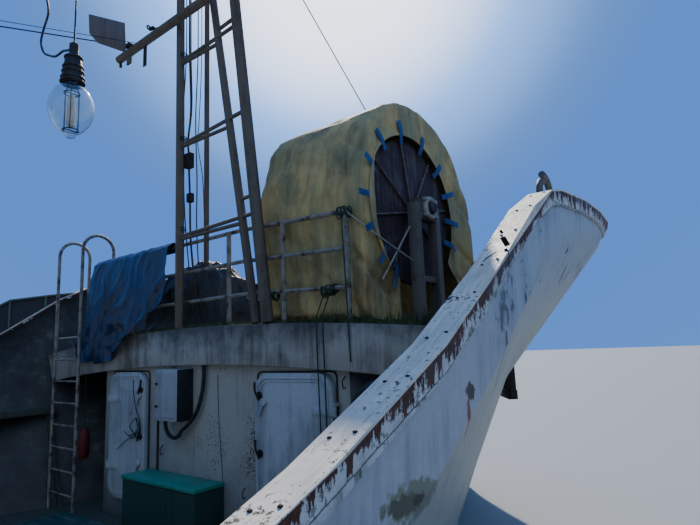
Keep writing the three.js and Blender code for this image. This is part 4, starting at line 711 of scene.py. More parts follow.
def stained_wall(name):
    """White wall paint, blue-grey low down as grime and painted shade, with black mould in flecks."""
    mat = weathered_paint(name, "A9AAA4", "58606A", "3E2E28", patch=0.9, peel=0.15, grimy=0.5, runs=0.2,
                          rough=0.5)
    tree, shader, place, coat = opened(mat)
    height = put(tree, "SeparateXYZ", {0: place}, use="Z")
    cloud = put(tree, "TexNoise", {"Vector": place, "Scale": 2.2, "Detail": 9.0, "Roughness": 0.7})
    lift = put(tree, "Math", {0: cloud, 1: 1.6, 2: height}, operation="MULTIPLY_ADD")
    # Darker and bluer towards the bottom: part grime, part painted shade.
    low_grime_and_shade = put(tree, "MapRange", {"Value": lift, "From Min": 2.5, "From Max": 1.5, "To Max": 0.7})
    flecks = put(tree, "TexNoise", {"Vector": place, "Scale": 55.0, "Detail": 4.0})
    near = put(tree, "TexNoise", {"Vector": place, "Scale": 1.7, "Detail": 2.0})
    both = put(tree, "Math", {0: flecks, 1: near}, operation="ADD")
    black = put(tree, "MapRange", {"Value": both, "From Min": 1.2, "From Max": 1.24, "To Max": 0.9})
    feed(tree, shader, {"Base Color": layered(tree, coat, [(low_grime_and_shade, "4D5560"), (black, "16181A")])})
    return mat


wall_coat = stained_wall("stained white wall paint")
dressed("house_aft_wall", wall_coat, edge=0.003)
dressed("house_shell", wall_coat, edge=0.004)
dark_iron = rusted_steel("dark greased iron", "1B1A1A", "463A34")
wall_bits = []
for y, z in ((-2.2, 2.3), (-0.85, 1.2), (0.62, 2.3), (0.62, 1.5)):
    hook = [(5.5, y, z), (5.47, y, z), (5.46, y, z + 0.03), (5.46, y, z + 0.07), (5.5, y, z + 0.1)]
    wall_bits.append((hook, 0.006))
slack_line = [(5.49, -0.42, 2.42), (5.485, -0.45, 1.9), (5.487, -0.5, 1.4), (5.485, -0.47, 1.0),
              (5.49, -0.49, 0.68)]
wall_bits.append((smooth_path(slack_line, 6), 0.003))
wall_bits.append(([(5.488, 0.72, 2.42), (5.488, 0.72, 1.4), (5.488, 0.76, 0.68)], 0.012))
many_tubes("wall_hooks_and_conduit", wall_bits, dark_iron, "boat", "dark_steel", 8)


# Weed and moss
# Moss and couch grass root in the grit along the deck's after edge and round the reel stand, in short
# dull green tufts with paler ones among them.
def leafy(name, colour, tip):
    """Moss and grass: soft matt green, mottled with a paler one."""
    mat, tree, shader, place = new_material(name)
    mottle = put(tree, "TexNoise", {"Vector": place, "Scale": 9.0, "Detail": 6.0})
    tone = put(tree, "ValToRGB", {"Fac": mottle}, [(0.35, colour), (0.68, tip)])
    feed(tree, shader, {"Base Color": tone, "Roughness": 0.9})
    return mat


def tufts_tree(name, mat):
    """Blades stood at random on a bed, leaning and scaled by their own draw."""
    tree, given, out = new_tree(name, {"Density": 900.0, "Height": 0.05})
    spread = put(tree, "GeometryNodeDistributePointsOnFaces",
                 {"Mesh": given.outputs["Geometry"], "Density": given.outputs["Density"], "Seed": 7})
    blade = put(tree, "GeometryNodeMeshCone", {"Vertices": 4, "Radius Top": 0.0004, "Radius Bottom": 0.0035,
                                               "Depth": given.outputs["Height"]})
    lean = put(tree, "FunctionNodeRandomValue", {0: (-0.7, -0.7, 0.0), 1: (0.7, 0.7, 6.2), "Seed": 3},
               data_type="FLOAT_VECTOR")
    size = put(tree, "FunctionNodeRandomValue", {2: 0.35, 3: 1.5, "Seed": 4}, data_type="FLOAT")
    placed = put(tree, "GeometryNodeInstanceOnPoints", {"Points": spread, "Instance": blade,
                                                        "Rotation": lean, "Scale": size})
    return realized(tree, placed, mat, out)


deck_crown, deck_camber, deck_half, deck_step = 2.95, 0.25, 3.95, 0.5


def fore_deck(y):
    """Height of the cambered forecastle deck, which is straight between its steps."""
    low = math.floor(abs(y) / deck_step) * deck_step
    at = [deck_crown - deck_camber * (v / deck_half) ** 2 for v in (low, low + deck_step)]
    return at[0] + (at[1] - at[0]) * (abs(y) - low) / deck_step


def moss_bed(patches):
    """Flat beds on the deck, each (x0, x1, y0, y1), cut small enough to follow the camber."""
    mesh = bpy.data.meshes.new("bed")
    points, faces = [], []
    for x0, x1, y0, y1 in patches:
        count = max(1, round((y1 - y0) / 0.1))
        for k in range(count):
            ya, yb = y0 + (y1 - y0) * k / count, y0 + (y1 - y0) * (k + 1) / count
            start = len(points)
            points += [(x0, ya, fore_deck(ya)), (x1, ya, fore_deck(ya)), (x1, yb, fore_deck(yb)),
                       (x0, yb, fore_deck(yb))]
            faces.append((start, start + 1, start + 2, start + 3))
    mesh.from_pydata(points, [], faces)
    return mesh


moss = leafy("moss and couch grass", "22301A", "55683A")
grow("deck_moss", moss_bed([(5.44, 5.53, -3.1, 2.3), (5.56, 5.66, -3.2, -2.2), (5.7, 6.0, -3.3, -2.6)]),
     tufts_tree("moss tufts", moss), {"Density": 5200.0, "Height": 0.04}, "boat", "deck_paint")
grow("deck_grass", moss_bed([(5.45, 5.55, -3.2, -1.9), (6.0, 6.9, -2.8, -2.5)]),
     tufts_tree("grass tufts", moss), {"Density": 2200.0, "Height": 0.11}, "boat", "deck_paint")


# House doors
# Pressed steel weathertight doors: rounded leaves with turned seams, on strap hinges, with dogs that
# clamp them and black rubber rings round them, which also serve as painted shade for the gap round each
# leaf. Their white is bluer than the wall's and handled grey.
door_coat = weathered_paint("handled door paint", "B2B9C0", "566270", "3E2E28", patch=0.6, peel=0.25,
                            grimy=0.6, runs=0.5, rough=0.5)


def ring_path(low, high, reach, bend, steps=5):
    """A rounded rectangle in the YZ plane, closed, at x = reach."""
    path = []
    for cy, cz, turn in ((high[0] - bend, high[1] - bend, 0), (low[0] + bend, high[1] - bend, 90),
                         (low[0] + bend, low[1] + bend, 180), (high[0] - bend, low[1] + bend, 270)):
        for k in range(steps + 1):
            a = math.radians(turn + 90 * k / steps)
            path.append((reach, cy + bend * math.cos(a), cz + bend * math.sin(a)))
    return [*path, path[0]]


for hand, y0, y1, z0, z1, free in (("port", 0.93, 1.78, 0.905, 2.455, 0.93),
                                   ("starboard", -2.1, -1.08, 0.905, 2.435, -1.08)):
    body = f"house_door_{hand}_body"
    dressed(f"house_door_{hand}", door_coat, edge=0.002)
    seam = [(ring_path((y0 + inset, z0 + inset), (y1 - inset, z1 - inset), 5.434, 0.13), radius)
            for inset, radius in ((0.05, 0.007), (0.08, 0.004))]
    many_tubes(f"door_seam_{hand}", seam, door_coat, body, "white_paint", 8)
    # A black rubber ring round the door frame, which also stands as painted shade for the gap round the
    # leaf.
    gasket_ring_and_gap_shade = ring_path((y0 - 0.012, z0 - 0.012), (y1 + 0.012, z1 + 0.012), 5.489, 0.06)
    many_tubes(f"door_ring_and_gap_shade_{hand}", [(gasket_ring_and_gap_shade, 0.008)], black_rubber, "boat", "black_rubber", 8)
    inward = 1 if free == y0 else -1
    levers = []
    for t in (0.14, 0.5, 0.86):
        z = z0 + t * (z1 - z0)
        pivot = Vector((5.43, free + inward * 0.075, z))
        levers.append(([pivot + Vector((0.006, 0, 0)), pivot + Vector((-0.008, 0, 0))], 0.038))
        levers.append(([pivot + Vector((0.004, 0, 0)), pivot + Vector((-0.035, 0, 0))], 0.017))
        handle = [(-0.03, inward * 0.02, -0.045), (-0.036, 0, 0), (-0.034, -inward * 0.03, 0.05),
                  (-0.03, -inward * 0.035, 0.13)]
        levers.append((smooth_path([pivot + Vector(p) for p in handle], 5), 0.012))
    many_tubes(f"door_dogs_{hand}", levers, dark_iron, body, "dark_steel", 10)


# Switch box, hose pipe, locker, shelf, boards
# A cast switch box with a hinged face, its starboard side painted near-black as shade; a swan-neck pipe
# in black bitumen; a locker whose body is painted a darker green as shade under its bright sea green
# lid; a shelf grey with moss; softwood deck boards in worn green.
def panel(name, x, y0, y1, z0, z1, bend, thick, mat, body, slot):
    """A rounded plate facing aft, its face at x and its back thick forward of that."""
    ring = ring_path((y0, z0), (y1, z1), x, bend)[:-1]
    count = len(ring)
    back = [(x + thick, y, z) for _, y, z in ring]
    faces = [tuple(range(count)), tuple(reversed(range(count, 2 * count)))]
    faces += [(k, k + count, (k + 1) % count + count, (k + 1) % count) for k in range(count)]
    made = add_piece(name, [*ring, *back], faces, mat, body, slot, sharp=40)
    fit = bmesh.new()
    fit.from_mesh(made.data)
    bmesh.ops.recalc_face_normals(fit, faces=fit.faces)
    rims = [e for e in fit.edges if e.calc_face_angle(0) > 1.2]
    bmesh.ops.bevel(fit, geom=rims, offset=min(0.004, thick / 3), segments=2, affect="EDGES")
    fit.to_mesh(made.data)
    fit.free()


box_coat = weathered_paint("switch box paint", "A6AEB6", "5A626A", "33302D", patch=0.3, peel=0.3, rough=0.5)
# The switch box's starboard-facing side takes a near-black coat: painted shade.
box_side_shade = weathered_paint("box side painted as shade", "22272D", "15181B", "33302D", patch=0.2, peel=0.3,
                           rough=0.7)
recoat(dressed("switch_box", box_coat, edge=0.006), box_side_shade, lambda face: face.normal.y < -0.8)
panel("switch_box_door", 5.277, 0.06, 0.44, 1.96, 2.45, 0.03, 0.01, box_coat, "boat", "box_paint")
many_tubes("switch_box_knobs", [([(5.278, 0.41, z), (5.255, 0.41, z)], 0.014) for z in (2.08, 2.33)],
           dark_iron, "boat", "dark_steel")
vent_coat = weathered_paint("black bitumen paint", "1B1D1F", "34352F", "4A3227", patch=0.2, peel=0.45,
                            rough=0.6)
dressed("vent_pipe", vent_coat, edge=0.003)
locker_coat = weathered_paint("sea green gloss", "2F9280", "1E4A42", "3B3A30", patch=0.4, peel=0.3,
                              grimy=0.4, rough=0.4)
# The locker's body is the lid's green darkened: painted shade.
shaded_coat = weathered_paint("locker green darkened as shade", "1C4038", "10211E", "2A2720", patch=0.4, peel=0.4,
                              rough=0.8)
dressed("locker", shaded_coat, edge=0.005)
dressed("locker_lid", locker_coat, edge=0.008)
shelf_coat = weathered_paint("mossy shelf paint", "4E5850", "1E241A", "2A231D", patch=0.25, peel=0.5,
                             rough=0.85)
dressed("fish_shelf", shelf_coat, edge=0.005)


def aged_boards(name, coat, bare, along=0):
    """Softwood under old paint: grain lifts through it in long ridges, and the ridges are worn bare."""
    mat, tree, shader, place = new_material(name)
    stretch = [22.0, 22.0, 22.0]
    stretch[along] = 1.2
    grained = put(tree, "Mapping", {"Vector": place, "Scale": stretch})
    rings = put(tree, "TexNoise", {"Vector": grained, "Scale": 1.0, "Detail": 8.0, "Roughness": 0.6,
                                   "Distortion": 0.6})
    cloud = put(tree, "TexNoise", {"Vector": place, "Scale": 5.0, "Detail": 6.0})
    both = put(tree, "Math", {0: rings, 1: cloud}, operation="ADD")
    worn = put(tree, "MapRange", {"Value": both, "From Min": 1.04, "From Max": 1.14})
    grain = put(tree, "ValToRGB", {"Fac": rings}, [(0.3, 0.5), (0.65, 1.0)])
    mixed = layered(tree, linear(coat), [(worn, bare)])
    toned = put(tree, "Mix", {0: 0.85, 6: mixed, 7: grain}, data_type="RGBA", blend_type="MULTIPLY")
    relief = put(tree, "Bump", {"Strength": 0.6, "Distance": 0.003, "Height": rings})
    feed(tree, shader, {"Base Color": toned, "Normal": relief, "Roughness": 0.85})
    return mat


deck_wood = aged_boards("green painted deck boards", "1F4E50", "46605C", along=1)
dressed("deck_boards", deck_wood, edge=0.006)


# Forecastle railing and ladder
# Galvanised pipe welded up and painted white again and again: the coat lifts off it in patches and the
# pipe rusts beneath. Thin green line is tangled on it by the corner and hangs down to the deck below.
rail_coat = weathered_paint("peeling white rail paint", "8F8D87", "55504A", "4A2F22", patch=0.12, peel=0.9,
                            grimy=0.6, rough=0.6, bump=0.6)
dressed("forecastle_railing", rail_coat, edge=0)
ladder_x, ladder_sides, hoop, hoop_z, first_rung, rung_step = 5.18, (2.15, 2.87), 0.22, 4.158, 0.88, 0.295
ladder_pipes = []
for y in ladder_sides:
    bow = [(ladder_x + hoop * (1 - math.cos(a)), y, hoop_z + hoop * math.sin(a))
           for a in (math.pi * k / 20 for k in range(21))]
    run = [(ladder_x, y, 0.652), (ladder_x, y, 2.4), *bow, (5.62, y, fore_deck(y) + 0.002)]
    ladder_pipes.append((run, 0.022))
for k in range(8):
    ladder_pipes.append(([(ladder_x, y, first_rung + rung_step * k) for y in ladder_sides], 0.014))
ladder = many_tubes("hoop_ladder_pipes", ladder_pipes, rail_coat, "boat", "grey_pipe", 14)
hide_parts("hoop_ladder")
rail_x, collars = 5.54, []
for y in (-2.25, -1.42, -0.56, 0.4, 1.4, 2.095):
    for rise in (0.33, 0.69):
        z = fore_deck(y) + rise
        collars.append(([(rail_x, y - 0.02, z), (rail_x, y + 0.02, z)], 0.025))
    collars.append(([(rail_x, y, fore_deck(y)), (rail_x, y, fore_deck(y) + 0.012)], 0.045))
many_tubes("rail_welds", collars, rail_coat, "boat", "grey_pipe", 14)


def twisted_line(name, colour, light):
    """Laid synthetic line: its strands show as slanting ribs, paler on the crests."""
    mat, tree, shader, place = new_material(name)
    ribs = put(tree, "TexWave", {"Vector": place, "Scale": 60.0, "Distortion": 1.5, "Detail": 1.0},
               bands_direction="DIAGONAL", use="Fac")
    tone = put(tree, "ValToRGB", {"Fac": ribs}, [(0.2, colour), (0.8, light)])
    relief = put(tree, "Bump", {"Strength": 0.8, "Distance": 0.002, "Height": ribs})
    feed(tree, shader, {"Base Color": tone, "Normal": relief, "Roughness": 0.85})
    return mat


green_line = twisted_line("dark green laid line", "12231D", "2E4A3C")
draw = random.Random(11)
lashing = []
for y, z, turns, spread in ((-2.06, 3.2, 9, 0.05), (-1.98, 3.19, 6, 0.03), (-2.2, 3.92, 6, 0.03),
                            (-2.27, 3.9, 3, 0.02), (-1.3, 3.21, 4, 0.02)):
    for _ in range(turns):
        middle, radius = y + draw.uniform(-spread, spread), 0.031 + draw.uniform(0, 0.012)
        tilt, slip = draw.uniform(-0.5, 0.5), draw.uniform(0, 0.035)
        loop = [(rail_x + radius * math.cos(a),
                 middle + tilt * radius * math.sin(a) + 0.004 * math.sin(3 * a),
                 z + radius * math.sin(a) - slip * (1 - math.sin(a)) / 2)
                for a in (math.tau * k / 14 for k in range(15))]
        lashing.append((loop, 0.006))
many_tubes("rail_lashings", lashing, green_line, "boat", "frame_green_paint", 6)
many_tubes("door_line", [(smooth_path(run, 5), radius) for run, radius in (
    ([(5.42, 1.18, 2.36), (5.4, 1.13, 2.2), (5.41, 1.08, 2.0), (5.4, 0.97, 1.86), (5.4, 1.02, 1.68),
      (5.41, 1.12, 1.72), (5.4, 1.2, 1.8), (5.4, 1.05, 1.9), (5.41, 1.0, 1.75), (5.41, 1.24, 1.68)], 0.006),
    ([(5.42, 1.1, 1.9), (5.4, 1.02, 1.78), (5.41, 1.15, 1.66), (5.4, 1.34, 1.73)], 0.005),
    ([(5.42, 1.0, 1.86), (5.4, 1.1, 1.7), (5.41, 1.3, 1.62), (5.4, 1.5, 1.5)], 0.005),
)], green_line, "house_door_port_body", "frame_green_paint", 6)
many_tubes("hauled_lines", [
    ([(5.51, -2.05, 3.17), (5.395, -2.05, 2.95), (5.4, -2.05, 2.4), (5.42, -2.04, 1.5), (5.45, -2.02, 0.66)],
     0.007),
    ([(5.51, -1.98, 3.17), (5.39, -1.975, 2.93), (5.4, -1.97, 2.5), (5.41, -1.98, 1.6), (5.44, -1.96, 0.66)],
     0.006),
    ([(5.51, -2.22, 3.89), (5.4, -2.33, 3.2), (5.4, -2.34, 2.9), (5.41, -2.34, 2.53)], 0.006),
], green_line, "boat", "frame_green_paint", 8)


# Mast, topmast and yard
# Four steel legs tied by struts, brown-grey primer under old ochre, with the pole above and the yard
# across them. Cables for the lights are tied down inside the legs, and a chain hangs at the yard.
mast_coat = weathered_paint("ochre and grey mast paint", "6A6055", "38332E", "5A3A22", patch=0.25, peel=0.5,
                            grimy=0.7, rough=0.75, bump=0.6)
for node in ("mast", "topmast", "yard"):
    dressed(node, mast_coat, edge=0)


def boxes(name, corners, mat, body, slot, edge=0.003):
    """Blocks between pairs of opposite corners, their edges eased, as one mesh."""
    work = bmesh.new()
    for low, high in corners:
        made = bmesh.ops.create_cube(work, size=1.0)["verts"]
        middle = [(a + b) / 2 for a, b in zip(low, high)]
        bmesh.ops.transform(work, verts=made, matrix=Matrix.LocRotScale(
            Vector(middle), None, Vector([abs(b - a) for a, b in zip(low, high)])))
    bmesh.ops.bevel(work, geom=work.edges[:], offset=edge, segments=2, affect="EDGES")
    mesh = bpy.data.meshes.new(name)
    work.to_mesh(mesh)
    work.free()
    mesh.materials.append(mat)
    shade(mesh, 40)
    seat(name, mesh, body, slot)


mast_runs = [
    [(5.47, 0.22, 8.5), (5.5, 0.22, 6.607), (5.5, 0.292, 5.612), (5.51, 0.3, 5.324), (5.52, 0.29, 4.803),
     (5.53, 0.249, 4.156), (5.54, 0.137, 3.405), (5.6, 0.1, 2.97)],
    [(5.5, 0.16, 8.5), (5.5, 0.154, 6.58), (5.52, 0.144, 5.726), (5.52, 0.2, 5.297), (5.52, 0.18, 5.1),
     (5.52, 0.177, 4.931), (5.52, 0.151, 4.515), (5.53, 0.145, 4.014), (5.54, 0.06, 3.4), (5.6, 0.05, 2.97)],
    [(5.53, 0.17, 8.5), (5.53, 0.165, 6.6), (5.54, 0.15, 5.75), (5.53, 0.21, 5.3), (5.53, 0.19, 5.12)],
    [(5.5, 0.0, 8.5), (5.5, -0.026, 6.505), (5.52, 0.045, 5.534), (5.52, 0.011, 4.75), (5.53, 0.026, 4.117),
     (5.54, -0.039, 3.388), (5.6, -0.05, 2.97)],
    [(5.51, -0.05, 8.5), (5.51, -0.088, 6.479), (5.53, -0.01, 5.476), (5.53, 0.02, 5.225),
     (5.53, -0.088, 4.726), (5.53, -0.13, 4.09), (5.54, -0.171, 3.375), (5.6, -0.18, 2.97)],
]
many_tubes("mast_cables", [(smooth_path(run, 5), radius)
                           for run, radius in zip(mast_runs, (0.007, 0.012, 0.006, 0.007, 0.005))],
           black_rubber, "boat", "black_rubber", 8)
boxes("mast_junctions", [((5.49, 0.125, 4.93), (5.56, 0.235, 5.12)), ((5.5, 0.12, 4.49), (5.56, 0.2, 4.6)),
                         ((5.325, 0.88, 6.5), (5.335, 0.96, 6.83))], dark_iron, "boat", "dark_steel")
band_rings = []
for z in (5.22, 6.35, 7.5, 4.06):
    for turn in (-0.02, 0.0, 0.02):
        band_rings.append((ring_points((5.47, 0.24, z + 0.09 + turn), 0.05, 16, "xy"), 0.005))
many_tubes("mast_lashings", band_rings, green_line, "boat", "frame_green_paint", 6)


def chain(start, end, pitch, radius):
    """Oval links, each turned a quarter from the last, between two points."""
    start, end = Vector(start), Vector(end)
    way = (end - start).normalized()
    side = way.orthogonal().normalized()
    other = way.cross(side)
    count = max(2, round((end - start).length / pitch))
    links = []
    for k in range(count):
        middle = start.lerp(end, (k + 0.5) / count)
        wide = side if k % 2 else other
        loop = []
        for step in range(21):
            a = math.tau * step / 20
            loop.append(middle + way * (math.cos(a) * pitch * 0.72) + wide * (math.sin(a) * pitch * 0.42))
        links.append((loop, radius))
    return links


rig_links = chain((5.33, 1.3, 6.93), (5.33, 1.12, 6.86), 0.06, 0.009)
rig_links += chain((5.33, 0.86, 7.04), (5.33, 0.56, 6.87), 0.075, 0.011)
rig_links += [([(5.33, y, 6.8), (5.33, y, 6.93)], 0.016) for y in (1.3, 1.56)]
rig_links += [([(5.33, 1.56, 6.83), (5.33, 1.56, 6.73)], 0.02)]
many_tubes("yard_chain", rig_links, dark_iron, "boat", "dark_steel", 8)
yard_end, wire_far_end = (5.33, 1.12, 6.92), (-0.98, 1.69, 5.37)
many_tubes("upper_mast_wire", [([yard_end, wire_far_end], 0.004)], dark_iron, "boat", "wire_rope", 8)


# Net reel, its stand and its cover
# Ply discs with thin battens, a tube hub and steel drum on one shaft; welded pedestals with split
# bearings; over it a waxed canvas cover gone mustard and olive, lashed with blue tape.
disc_wood = aged_boards("weathered reel ply", "3E3038", "54484B", along=2)
dressed("net_reel", disc_wood, edge=0.004)
batten_wood = aged_boards("worn pale battens", "8A8078", "5A4C48", along=0)
reel_x, reel_z = 6.4, 4.01
battens = []
for k in range(8):
    a = math.pi / 4 * k + 0.2
    run = [(reel_x + r * math.cos(a), -2.4545, reel_z + r * math.sin(a)) for r in (0.1, 0.42, 0.742)]
    battens.append((run, 0.006))
rim = ring_points((reel_x, -2.4315, reel_z), 0.756, 96)
many_tubes("reel_battens", battens, batten_wood, "reel_body", "reel_timber", 8)
many_tubes("reel_rim", [(rim, 0.009)], dark_iron, "reel_body", "dark_steel", 8)
stand_coat = weathered_paint("worn grey-brown stand paint", "6C6660", "3C3631", "352720", patch=0.2,
                             peel=0.6, grimy=0.6, rough=0.75)
dressed("reel_stand", stand_coat, edge=0.005)
bearing_paint = weathered_paint("off-white bearing paint", "A8A59C", "6F6A62", "4A3226", patch=0.1,
                                peel=0.6, rough=0.6)
bearing_nuts = [([(x, -2.66, z), (x, -2.69, z)], 0.02) for x in (6.3, 6.5) for z in (3.93, 4.09)]
many_tubes("bearing_nuts", bearing_nuts, bearing_paint, "boat", "grey_pipe", 6)
bearing_ring = ring_points((reel_x, -2.668, reel_z), 0.095, 32)
many_tubes("bearing_ring", [(bearing_ring, 0.027)], bearing_paint, "boat", "grey_pipe", 14)
round_corner = [(5.54, -2.268, 3.895), (5.57, -2.335, 3.83), (5.583, -2.385, 3.787), (5.598, -2.5, 3.683),
                (5.84, -2.525, 3.59), (6.18, -2.58, 3.45)]
many_tubes("stand_rods", [(round_corner, 0.008), ([(6.29, -2.57, 3.96), (5.73, -2.498, 3.25)], 0.009)],
           bearing_paint, "boat", "grey_pipe", 8)


def cloth_look(name, light, deep, stain, along=(7.0, 7.0, 0.7), rough=0.75, weave=420.0):
    """Coated cloth: thin weave, bleached and stained in drawn-out patches, with fine dark cracks."""
    mat, tree, shader, place = new_material(name)
    hung = put(tree, "Mapping", {"Vector": place, "Scale": along})
    streaks = put(tree, "TexNoise", {"Vector": hung, "Scale": 1.0, "Detail": 8.0, "Roughness": 0.62,
                                     "Distortion": 0.4})
    clouds = put(tree, "TexNoise", {"Vector": place, "Scale": 1.6, "Detail": 7.0, "Roughness": 0.6})
    both = put(tree, "Math", {0: streaks, 1: clouds}, operation="ADD")
    tone = put(tree, "MapRange", {"Value": both, "From Min": 0.8, "From Max": 1.22})
    slow = put(tree, "Mapping", {"Vector": place, "Scale": (3.0, 3.0, 1.1)})
    spots = put(tree, "TexNoise", {"Vector": slow, "Scale": 1.0, "Detail": 10.0, "Roughness": 0.7,
                                   "Distortion": 0.3})
    soiled = put(tree, "MapRange", {"Value": spots, "From Min": 0.48, "From Max": 0.7, "To Max": 0.8})
    cracks = put(tree, "TexNoise", {"Vector": hung, "Scale": 2.6, "Detail": 3.0, "Distortion": 1.0})
    from_middle = put(tree, "Math", {0: cracks, 1: 0.5}, operation="SUBTRACT")
    thin = put(tree, "Math", {0: from_middle}, operation="ABSOLUTE")
    line = put(tree, "MapRange", {"Value": thin, "From Min": 0.006, "From Max": 0.0, "To Max": 0.5})
    coat = layered(tree, linear(deep), [(tone, light), (soiled, stain), (line, "2F332C")])
    threads = put(tree, "TexNoise", {"Vector": place, "Scale": weave, "Detail": 2.0})
    folds = put(tree, "TexNoise", {"Vector": hung, "Scale": 1.6, "Detail": 6.0})
    height = put(tree, "Math", {0: threads, 1: 0.06}, operation="MULTIPLY")
    height = put(tree, "Math", {0: height, 1: folds}, operation="ADD")
    relief = put(tree, "Bump", {"Strength": 0.5, "Distance": 0.012, "Height": height})
    feed(tree, shader, {"Base Color": coat, "Normal": relief, "Roughness": rough})
    return mat


def evenly(path, count):
    """The same path as count points at even steps."""
    path = np.array([tuple(p) for p in path])
    run = np.concatenate([[0.0], np.cumsum(np.linalg.norm(np.diff(path, axis=0), axis=1))])
    steps = np.linspace(0, run[-1], count)
    return np.stack([np.interp(steps, run, path[:, k]) for k in range(path.shape[1])], 1)


def share(value):
    """A value held between 0 and 1."""
    return max(0.0, min(1.0, value))


def cloth_mesh(name, grid, mat, body, slot, crease, thick=0.003):
    """A sheet over rows of points, pushed along its normals by crease(point, column)."""
    columns = len(grid[0])
    corners = [(r * columns + c, (r + 1) * columns + c)
               for r in range(len(grid) - 1) for c in range(columns - 1)]
    mesh = bpy.data.meshes.new(name)
    mesh.from_pydata([tuple(p) for row in grid for p in row], [], [(a, b, b + 1, a + 1) for a, b in corners])
    mesh.materials.append(mat)
    mesh.polygons.foreach_set("use_smooth", [True] * len(mesh.polygons))
    mesh.update()
    normals = [Vector(n.vector) for n in mesh.vertex_normals]
    for index, (vertex, normal) in enumerate(zip(mesh.vertices, normals)):
        vertex.co += normal * crease(vertex.co, index % columns)
    made = seat(name, mesh, body, slot)
    wall = made.modifiers.new("wall", "SOLIDIFY")
    wall.thickness = thick
    wall.offset = -1.0
    return made


stations = 230
outline = evenly([(5.6, 2.6), (5.58, 3.5), (5.585, 4.15), (5.61, 4.42), (5.67, 4.62), (5.76, 4.83),
                  (5.89, 5.01), (6.05, 5.13), (6.25, 5.2), (6.45, 5.225), (6.65, 5.23), (6.86, 5.2),
                  (7.05, 5.13), (7.26, 5.02), (7.44, 4.86), (7.6, 4.66), (7.72, 4.44), (7.81, 4.2),
                  (7.85, 3.95), (7.88, 3.5), (7.85, 2.6)], stations)
mouth_arc = [(reel_x + 0.8 * math.cos(a), reel_z + 0.8 * math.sin(a))
             for a in np.radians(np.linspace(244.4, -36.0, 60))]
mouth = evenly([(6.055, 2.6), (6.055, 3.2), *mouth_arc, (7.2, 3.4), (7.4, 3.2), (7.58, 3.0), (7.64, 2.9),
                (7.66, 2.6)], stations)
reel_y0, reel_y1, roll_in = -2.49, -0.95, 0.11
centre_x, centre_z = 6.6, 3.6
hem_lift, hem_reach = 0.004, 3.4


def rolled(corner, back, side, angles):
    """The cover's edge, rolled from an end over to the long side, at angles in degrees."""
    return [corner + back * (roll_in * (1 - math.sin(a)))
            + Vector((0, side * roll_in * (1 - math.cos(a)), 0)) for a in np.radians(angles)]


grid = []
for (ox, oz), (mx, mz) in zip(outline, mouth):
    if oz > centre_z:
        back = Vector((centre_x - ox, 0.0, centre_z - oz)).normalized()
    else:
        back = Vector((math.copysign(1.0, centre_x - ox), 0.0, 0.0))
    fore, aft = Vector((ox, reel_y0, oz)), Vector((ox, reel_y1, oz))
    folded, lip = fore + back * roll_in, Vector((mx, reel_y0, mz))
    row = [lip.lerp(folded, t) for t in np.linspace(0, 1, 22)]
    row += rolled(fore, back, 1, np.linspace(15, 90, 6))
    row += [Vector((ox, y, oz)) for y in np.linspace(reel_y0 + roll_in + 0.04, reel_y1 - roll_in - 0.04, 30)]
    row += rolled(aft, back, -1, np.linspace(90, 15, 6))
    middle = Vector((min(max(ox, 6.15), 7.35), reel_y1, min(oz, 3.9)))
    row += [(aft + back * roll_in).lerp(middle, t) for t in np.linspace(0, 1, 14)]
    for p in row:
        p.z = max(p.z, fore_deck(min(abs(p.y), hem_reach)) + hem_lift)
    grid.append(row)


def cover_crease(p, column):
    """Folds that hang straight down, and slanting ones near the foot, as deep as the reel leaves room."""
    warp = 0.5 * noise.noise(Vector((p.x, p.y, p.z * 0.8)))
    hang = 1.0 - 2.2 * abs(noise.noise(Vector((p.x * 2.3 + warp, p.y * 2.3, p.z * 0.35 + 7.0))))
    tight = 1.0 - 2.2 * abs(noise.noise(Vector((p.x * 7.5 + warp, p.y * 7.5, p.z * 0.8 + 3.0))))
    slant = p.z * 0.9 - p.y * 0.8 + p.x * 0.6
    cross = 1.0 - 3.0 * abs(noise.noise(Vector((slant * 2.6, p.y * 0.5 + p.x * 0.5, warp * 2.0 + 5.0))))
    reel_gap = math.hypot(p.x - reel_x, p.z - reel_z) - 0.77
    room = max(0.014, min(0.07, 0.72 * reel_gap))
    low = share((4.0 - p.z) / 0.8)
    high = share((p.z - 4.5) / 0.4)
    from_lip = min(1.0, 0.2 + column / 7.0)
    depth = 0.5 * max(hang, 0.0) + 0.22 * max(tight, 0.0) * (1.0 - high)
    depth = depth + (0.3 + 0.5 * low) * max(cross, 0.0) ** 2
    return -room * min(depth * (1.0 + 0.5 * low), 1.2) * from_lip * (1.0 - 0.5 * high)


canvas_cloth = cloth_look("mustard waxed canvas", "CEB474", "888864", "58432C")
cover = cloth_mesh("reel_cover_cloth", grid, canvas_cloth, "boat", "yellow_tarpaulin", cover_crease)
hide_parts("reel_cover")

